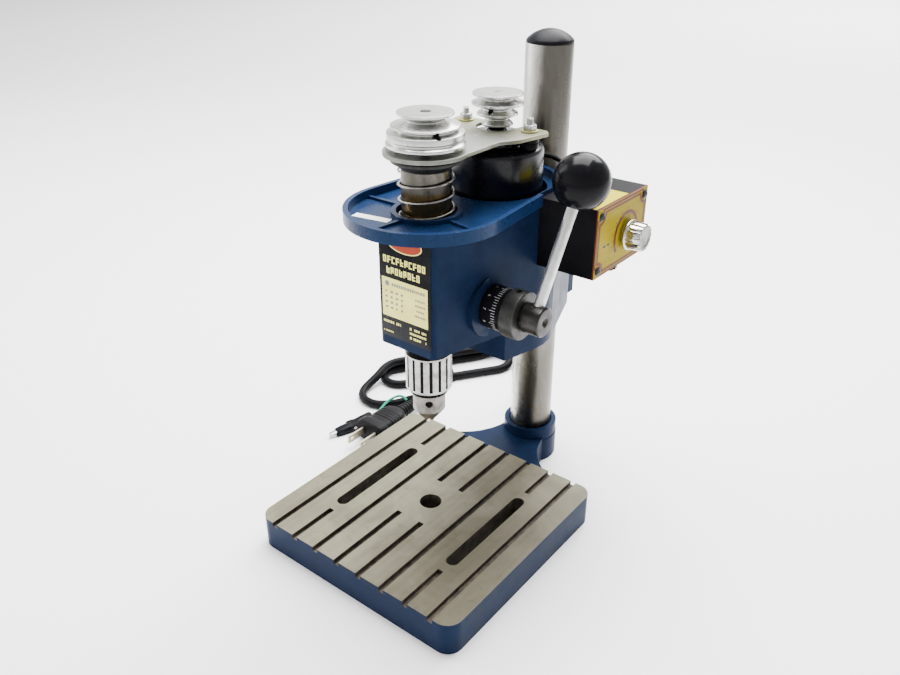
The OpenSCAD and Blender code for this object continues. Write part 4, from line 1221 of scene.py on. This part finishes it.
def make_box():
    restyled("control_box", "box_shell", 1.0, 3, BLACK_PAINT)
    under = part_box("control_box")[0].z / MM
    here = place(68, 88, 0)
    cap = [(0.1, under - 5), (5.2, under - 5), (6.2, under - 4.2), (6.2, under - 1.5), (7.5, under - 1.5),
           (7.5, under), (0.1, under)]
    holder = lathe("fuse_cap", eased(cap, 0.3, 2), here, CAP_PLASTIC, 48)
    grips = [
        moved(block("grip", (5.9, -0.45, under - 4.4), (6.7, 0.45, under - 1.7), CAP_PLASTIC, 0.15),
              here @ Matrix.Rotation(TURN * k / 12, 4, "Z"))
        for k in range(12)
    ]
    stand(joined("fuse_cap_ribbed", [holder] + grips), "fuse_holder")


def make_speed_knob():
    """A fluted metal knob: a skirt, tapering ridges and a dished end face."""
    r = (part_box("speed_knob")[1].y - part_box("speed_knob")[0].y) / 2 / MM
    ridges, across = 14, 18
    here = place(PANEL_X, KNOB_Y, KNOB_Z, (90, "Y"))
    verts, faces = [], []
    levels = [(4.2, 0.0), (4.4, 0.25), (5.2, 0.3), (8.5, 0.48), (12.4, 0.68), (12.9, 0.95), (13.05, 1.4)]
    per = ridges * across
    for z, shrink in levels:
        for k in range(per):
            phase = (k % across) / across
            dip = 0.95 * max(0.0, math.cos(TURN * phase)) ** 0.55
            radius = r - 0.25 - shrink - dip
            a = TURN * k / per
            verts.append(here @ (Vector((radius * math.cos(a), radius * math.sin(a), z)) * MM))
    for i in range(len(levels) - 1):
        for k in range(per):
            m = (k + 1) % per
            faces.append([i * per + k, i * per + m, (i + 1) * per + m, (i + 1) * per + k])
    grip = from_lists("knob_grip", verts, faces, CHROME, 32)
    skirt = lathe("knob_skirt", eased([(3, 2), (r, 2), (r, 3.6), (r - 0.6, 4.3), (3, 4.3)], 0.25, 2), here,
                  CHROME, 96)
    face = lathe("knob_face", eased([(0.05, 12.5), (5.4, 12.5), (5.9, 13.0), (r - 1.9, 13.0), (r - 1.6, 12.6),
                                     (r - 2.4, 12.2), (0.05, 12.2)], 0.15, 2), here, KNOB_FACE, 96)
    stem = lathe("knob_stem", [(0.05, -7), (3, -7), (3, 4), (0.05, 4)], here, BRIGHT, 32)
    return stand(joined("speed_dial", [grip, skirt, face, stem]), "speed_knob")


def make_panel_screws():
    parts = []
    for y in (PANEL_Y0 + 4.2, PANEL_Y1 - 4.2):
        for z in (PANEL_Z0 + 4.6, PANEL_Z1 - 4.6):
            here = place(PANEL_X, y, z, (90, "Y"))
            head = lathe("screw_head", eased([(0.05, -7), (1.5, -7), (1.5, 0), (2.75, 0), (2.75, 0.5),
                                              (2.2, 1.1), (1.2, 1.4), (0.05, 1.45)], 0.15, 2), here,
                                              BLACK_STEEL, 36)
            for turn in (20, 110):
                slot = block("slot", (-1.7, -0.3, 0.75), (1.7, 0.3, 2.5))
                moved(slot, here @ Matrix.Rotation(math.radians(turn), 4, "Z"))
                head = cut_away(head, slot)
            parts.append(head)
    stand(joined("panel_screw_set", parts), "panel_screws")


KNOB_FACE = plain_steel("knob_face_metal", (0.24, 0.24, 0.23), 0.34, 0.8)

make_panel()
make_box()
make_speed_knob()
make_panel_screws()
restyled("box_sticker", "box_tag", 0.08, 1, PAPER_YELLOW)
keep("speed_control", BRIGHT)
keep("circuit_board", BOARD)


def make_gland():
    """A moulded strain relief that tapers along the cord, cut into segments."""
    here = (Matrix.Translation(Vector(behind(25, 168)) * MM)
            @ Matrix.Rotation(math.atan2(DROP_WAY[1], DROP_WAY[0]), 4, "Z")
            @ Matrix.Rotation(math.radians(135), 4, "Y"))
    profile = [(3.55, -3), (4.9, -3), (4.9, 2), (8, 2), (8, 4.2), (7.2, 5), (6.5, 5.1)]
    for k in range(6):
        z = 5.6 + k * 2.55
        r = 6.4 - (z - 5) * 0.11
        profile += [(r, z), (r - 0.12, z + 1.5), (r - 1.1, z + 1.7), (r - 1.15, z + 2.3)]
    profile += [(4.75, 20.9), (4.45, 21.2), (3.55, 21.2)]
    piece = lathe("strain_relief", eased(profile, 0.2, 2), here, CORD_RUBBER, 48)
    stand(piece, "cord_gland")


def make_motor_lead():
    """The motor's lead: a sleeve from the motor, then two twisted wires that go down into the box."""
    route = smooth_route(metres([
        (9.4, 95, 238), (15, 98, 238.5), (22, 99.2, 237.4), (29, 98, 235), (35, 95.5, 233.2), (40, 92.6, 232),
        (43.2, 90, 230.6), (44.2, 88.2, 228.2),
    ]), 0.7 * MM)
    part = int(len(route) * 0.62)
    sleeve = tube("lead_sleeve", route[:part], 1.6 * MM, 20, CORD_RUBBER)
    wires = []
    for turn in (0, math.pi):
        twisted = []
        for i in range(part - 4, len(route)):
            way = (route[min(i + 1, len(route) - 1)] - route[i - 1]).normalized()
            side = way.cross(Vector((0, 0, 1))).normalized()
            up = side.cross(way)
            a = turn + i * 0.42
            twisted.append(route[i] + (side * math.cos(a) + up * math.sin(a)) * 0.78 * MM)
        wires.append(tube("lead_wire", twisted, 0.75 * MM, 12, IVORY_WIRE))
    lead = joined("motor_cable", [sleeve] + wires)
    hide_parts("motor_lead")
    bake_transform(lead)


make_gland()
make_motor_lead()


# ---------- quill, motor and plate ----------

def make_quill_top():
    boss = [(8, 250.8), (14.2, 250.8), (14.6, 251.6), (17.6, 254.0), (19.6, 254.8), (19.6, 256.7),
            (18.6, 256.9), (18.6, 258.3), (8, 258.3)]
    piece = lathe("bearing_housing", eased(boss, 0.4, 3), material=DARK_STEEL, steps=128)
    stand(piece, "bearing_boss")
    restyled("motor_plate", "carrier_plate", 0.35, 2, ZINC)


def make_spring():
    turns, seat, top = 4.5, 212.7, 250.1
    steps = round(96 * turns)
    route = []
    for i in range(steps + 1):
        t = i / steps
        rise = 0.06 * (1 - math.cos(math.pi * t)) + 0.88 * t
        a = TURN * turns * t + math.radians(60)
        route.append(Vector((15.3 * math.cos(a), 15.3 * math.sin(a), seat + (top - seat) * rise)) * MM)
    spring = tube("quill_spring", route, 0.7 * MM, 14, SPRING_STEEL)
    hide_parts("return_spring")
    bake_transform(spring)


def make_motor():
    here = place(MOTOR.x / MM, MOTOR.y / MM, 0)
    r = 28.5
    can = [(r - 2.5, 187), (r, 187), (r, 247.6), (r - 0.6, 249.4), (r - 2.4, 250.6), (r - 5.0, 251.0),
           (16.5, 251.05), (16.5, 256.4), (6.5, 256.4), (6.4, 257.6), (5.6, 259.3), (4.3, 260.4),
           (2.6, 260.7), (2.6, 240), (r - 2.5, 240)]
    body = lathe("motor_shell", eased(can, 0.7, 3), here, MOTOR_BLACK, 160)
    stand(body, "motor_can")
    cap = [(0.2, 178), (r - 1.4, 178), (r - 0.5, 179), (r - 0.5, 187), (r - 4.5, 187), (r - 4.5, 182),
           (0.2, 182)]
    piece = lathe("motor_base", eased(cap, 0.5, 2), here, MOTOR_BLACK, 128)
    stand(piece, "motor_end_cap")


def make_studs():
    """At each ear: a threaded stud, a hexagonal nut, a washer above the plate and a bush below it."""
    low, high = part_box("plate_nuts")
    centre_y = (low.y + high.y) / 2 / MM
    nut_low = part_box("plate_washers")[1].z / MM
    stud_x = (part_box("plate_washers")[1].x / MM) - 5
    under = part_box("rubber_bushes")
    nuts, washers, bushes = [], [], []
    for side in (-1, 1):
        here = place(side * stud_x, centre_y, 0)
        nuts.append(lathe("stud", threads(2.0, 249, high.z / MM, 0.7), here, BRIGHT, 28))
        spin = here @ Matrix.Rotation(math.radians(17 * side), 4, "Z")
        nuts.append(hexagon("nut", 7, nut_low, nut_low + 3.3, spin, BRIGHT, 0.45))
        washers.append(lathe("washer", eased([(2.1, nut_low - 1), (5, nut_low - 1), (5, nut_low),
                                              (2.1, nut_low)], 0.2, 2),
                             here, YELLOW_ZINC, 48))
        z0, z1 = under[0].z / MM, under[1].z / MM
        mid = (z0 + z1) / 2
        bush = [(2.1, z0), (5.5, z0), (5.5, mid - 0.3), (4.9, mid - 0.3), (4.9, mid + 0.3),
                (5.5, mid + 0.3), (5.5, z1), (2.1, z1)]
        bushes.append(lathe("bush", eased(bush, 0.25, 2), here, CAP_PLASTIC, 48))
    stand(joined("stud_and_nut_pair", nuts), "plate_nuts")
    stand(joined("washer_pair", washers), "plate_washers")
    stand(joined("bush_pair", bushes), "rubber_bushes")


def pulley_profile(rims, waists, bore):
    """A stepped pulley's section: rims as (radius, low edge, high edge), with V grooves between."""
    out = [(bore, rims[0][1])]
    for i, (radius, low, high) in enumerate(rims):
        out += [(radius, low), (radius, high)]
        if i < len(waists):
            waist, z = waists[i]
            out += [(waist, z - 0.35), (waist, z + 0.35)]
    return out + [(bore, rims[-1][2])]


def make_pulley(node, name, profile, centre, hole_z, turn, hole_r, material):
    here = place(*centre, 0)
    body = lathe(name, eased(profile, 0.22, 3), here, material, 160)
    hole_at = here @ place(0, 0, hole_z, (turn, "Z"), (90, "Y"))
    cutter = lathe("hole", [(0.01, 2), (hole_r, 2), (hole_r, 30), (0.01, 30)], hole_at, BLACK_STEEL, 32)
    stand(cut_away(body, cutter), node)


def make_pulleys():
    rims = [(21.8, 263.4, 264.8), (21.1, 267.6, 270.6), (19, 273.2, 274.1), (15.5, 279.7, 280.9)]
    waists = [(20.3, 266.2), (16.2, 271.9), (10.6, 276.7)]
    make_pulley("spindle_pulley", "spindle_step_pulley", pulley_profile(rims, waists, 3), (0, 0), 271.9,
                -31, 1.8, PULLEY_A)
    rims = [(9.4, 261.4, 262.5), (12.1, 267.4, 268.7), (15.4, 273.4, 274.7), (15, 278.8, 280.2)]
    waists = [(6.9, 265.3), (9, 270.9), (9.6, 276.8)]
    make_pulley("motor_pulley", "motor_step_pulley", pulley_profile(rims, waists, 2.5),
                (MOTOR.x / MM, MOTOR.y / MM), 270.9, -80, 1.6, PULLEY_B)


make_quill_top()
make_spring()
make_motor()
make_studs()
make_pulleys()
keep("quill_tube", BRONZE)
keep("quill_bearings", BRIGHT)
keep("motor_magnets", BLACK_STEEL)
keep("motor_armature", COPPER)
keep("motor_shaft", BRIGHT)
keep("spindle_shaft", BRIGHT)
keep("spindle_pulley_screw", BLACK_STEEL)
keep("motor_pulley_screw", BLACK_STEEL)


# ---------- chuck ----------

def make_chuck():
    restyled("chuck_sleeve", "chuck_ring", 0.22, 2, CHUCK)
    restyled("chuck_body", "chuck_nose", 0.35, 2, NOSE)
    for node in ("chuck_jaw_1", "chuck_jaw_2", "chuck_jaw_3"):
        restyled(node, node + "_ground", 0.2, 2, JAW_STEEL)


make_chuck()


# ---------- feed ----------

FEED_PLACE = place(0, FEED.y / MM, FEED.z / MM, (90, "Y"))
LEVER_PLACE = place(60, FEED.y / MM, FEED.z / MM, (-18.2, "X"), (7, "Y"))


def round_feed(name, x, angle, wide, tall, radius, material, depth=0.05):
    """A small mark on a drum about the feed shaft: x lies along the shaft, angle is its middle in degrees."""
    steps = max(2, round(wide / 0.4))
    verts, faces = [], []
    for i in range(steps + 1):
        a = math.radians(angle) + (i / steps - 0.5) * wide / radius
        for r in (radius - 0.1, radius + depth):
            for z in (x, x + tall):
                verts.append(FEED_PLACE @ (Vector((r * math.cos(a), r * math.sin(a), z)) * MM))
    for i in range(steps):
        a, b = i * 4, i * 4 + 4
        faces += [[a + 2, a + 3, b + 3, b + 2], [a, a + 2, b + 2, b], [a + 1, b + 1, b + 3, a + 3]]
    faces += [[0, 1, 3, 2], [steps * 4, steps * 4 + 2, steps * 4 + 3, steps * 4 + 1]]
    return from_lists(name, verts, faces, material, 30)


def digit_on_drum(text, x, angle, size, radius):
    """A number cut from the built-in font and wrapped round a drum about the feed shaft."""
    curve = bpy.data.curves.new("digit", "FONT")
    curve.body = text
    curve.size = size
    curve.align_x = "CENTER"
    curve.align_y = "CENTER"
    shape = bpy.data.objects.new("digit", curve)
    bpy.context.scene.collection.objects.link(shape)
    graph = bpy.context.evaluated_depsgraph_get()
    mesh = bpy.data.meshes.new_from_object(shape.evaluated_get(graph))
    bpy.data.objects.remove(shape)
    for v in mesh.vertices:
        a = math.radians(angle) + v.co.x / radius
        out = (radius + 0.04) * MM
        v.co = FEED_PLACE @ Vector((out * math.cos(a), out * math.sin(a), (x + v.co.y) * MM))
    return link("digit", mesh, MARK_WHITE)


def make_scale_ring():
    drum = [(6, 30.05), (12.6, 30.05), (13, 30.5), (13, 43.5), (12.5, 44), (6, 44)]
    parts = [lathe("scale_drum", eased(drum, 0.25, 2), FEED_PLACE, BLACK_PAINT, 128)]
    for k in range(50):
        long_one = k % 5 == 0
        parts.append(round_feed("tick", 38.6 - (1.4 if long_one else 0), 7.2 * k, 0.28,
                                4.0 if long_one else 2.6, 13, MARK_WHITE))
        if long_one:
            parts.append(digit_on_drum(str(k // 5), 33.9, 7.2 * k, 2.6, 13))
    stand(joined("depth_scale", parts), "feed_scale_ring")


def make_depth_stop():
    ring = [(5.1, 44.3), (14.0, 44.3), (14.5, 44.9), (14.5, 53.2), (13.9, 53.8), (5.1, 53.8)]
    body = lathe("stop_drum", eased(ring, 0.3, 3), FEED_PLACE, DARK_STEEL, 128)
    hole_at = FEED_PLACE @ place(0, 0, 49, (180, "Z"), (90, "Y"))
    body = cut_away(body, lathe("hole", [(0.01, 11), (2, 11), (2, 16.5), (0.01, 16.5)], hole_at,
                                BLACK_STEEL, 32))
    screw = lathe("stop_screw", eased([(0.9, 11.2), (1.95, 11.2), (1.95, 13.6), (0.9, 13.6)], 0.15, 2),
                  hole_at, BLACK_STEEL, 24)
    stand(joined("depth_ring", [body, screw]), "depth_stop")


def make_lever():
    hub = [(0.05, 54), (6, 54), (6, 54.4), (8.4, 54.4), (8.8, 54.8), (8.8, 66.4), (8.1, 67.2), (3.0, 67.2),
           (0.4, 65.4), (0.05, 65.3)]
    body = lathe("lever_boss", eased(hub, 0.3, 3), FEED_PLACE, HUB_STEEL, 96)
    stand(body, "feed_hub")
    rod = [(0.05, 0.5), (3.0, 0.5), (3.25, 0.8), (3.25, 66.2), (2.6, 66.4), (2.6, 78.5), (0.05, 78.5)]
    stand(lathe("lever_arm", eased(rod, 0.12, 2), LEVER_PLACE, ROD, 48), "lever_rod")
    ball = [(3.3, 66.45), (5.9, 66.4), (6.6, 66.5)]
    ball += [(16 * math.sin(math.radians(a)), 81 - 16 * math.cos(math.radians(a))) for a in range(26, 180, 4)]
    ball += [(0.05, 97.0), (0.05, 79), (3.3, 79)]
    stand(lathe("lever_ball", ball, LEVER_PLACE, BALL_BLACK, 96), "ball_knob")


HUB_STEEL = plain_steel("hub_steel", (0.035, 0.033, 0.031), 0.22, 0.5, 0.85)

make_scale_ring()
make_depth_stop()
make_lever()
keep("feed_shaft", BRIGHT)


# ---------- floor and light ----------

def make_stage():
    paper = Finish("paper_floor", (0.93, 0.93, 0.93), 0.85, Specular_IOR_Level=0.1)
    haze = paper.noise(3, 3, 0.5)
    paper.colour(paper.mix(haze, (0.94, 0.94, 0.94), (0.90, 0.90, 0.905)))
    floor = prism("floor", [(-8000, -8000), (8000, -8000), (8000, 8000), (-8000, 8000)], -20, -0.02,
                  material=paper.material)
    world = bpy.data.worlds.new("studio")
    world.use_nodes = True
    bpy.context.scene.world = world
    tree = world.node_tree
    back = tree.nodes["Background"]
    axes = tree.nodes.new("ShaderNodeSeparateXYZ")
    tree.links.new(tree.nodes.new("ShaderNodeTexCoord").outputs["Generated"], axes.inputs[0])

    def graded(axis, low, high, first, last):
        node = tree.nodes.new("ShaderNodeMapRange")
        node.interpolation_type = "SMOOTHSTEP"
        tree.links.new(axes.outputs[axis], node.inputs["Value"])
        for socket, number in zip(("From Min", "From Max", "To Min", "To Max"), (low, high, first, last)):
            node.inputs[socket].default_value = number
        return node.outputs[0]

    both = tree.nodes.new("ShaderNodeMath")
    both.operation = "MULTIPLY"
    tree.links.new(graded("X", -0.7, 0.6, 1.35, 0.65), both.inputs[0])
    tree.links.new(graded("Z", 0.05, 0.7, 1.7, 0.8), both.inputs[1])
    tree.links.new(both.outputs[0], back.inputs[1])
    back.inputs[0].default_value = (1, 1, 1, 1)


def lamp(name, spot, target, size, power, height=None):
    data = bpy.data.lights.new(name, "AREA")
    data.shape = "RECTANGLE"
    data.size = size
    data.size_y = height or size
    data.energy = power
    obj = bpy.data.objects.new(name, data)
    obj.location = spot
    obj.rotation_euler = (Vector(target) - Vector(spot)).to_track_quat("-Z", "Y").to_euler()
    bpy.context.scene.collection.objects.link(obj)


make_stage()
AIM = (0, 0.03, 0.15)
lamp("overhead", (-0.15, 0.35, 1.2), (-0.1, 0.2, 0), 0.9, 60)
lamp("backdrop", (-0.4, 3.0, 2.2), (-0.4, 2.9, 0), 2.4, 300)
lamp("left", (-1.3, -0.3, 0.8), AIM, 0.5, 10, height=1.0)
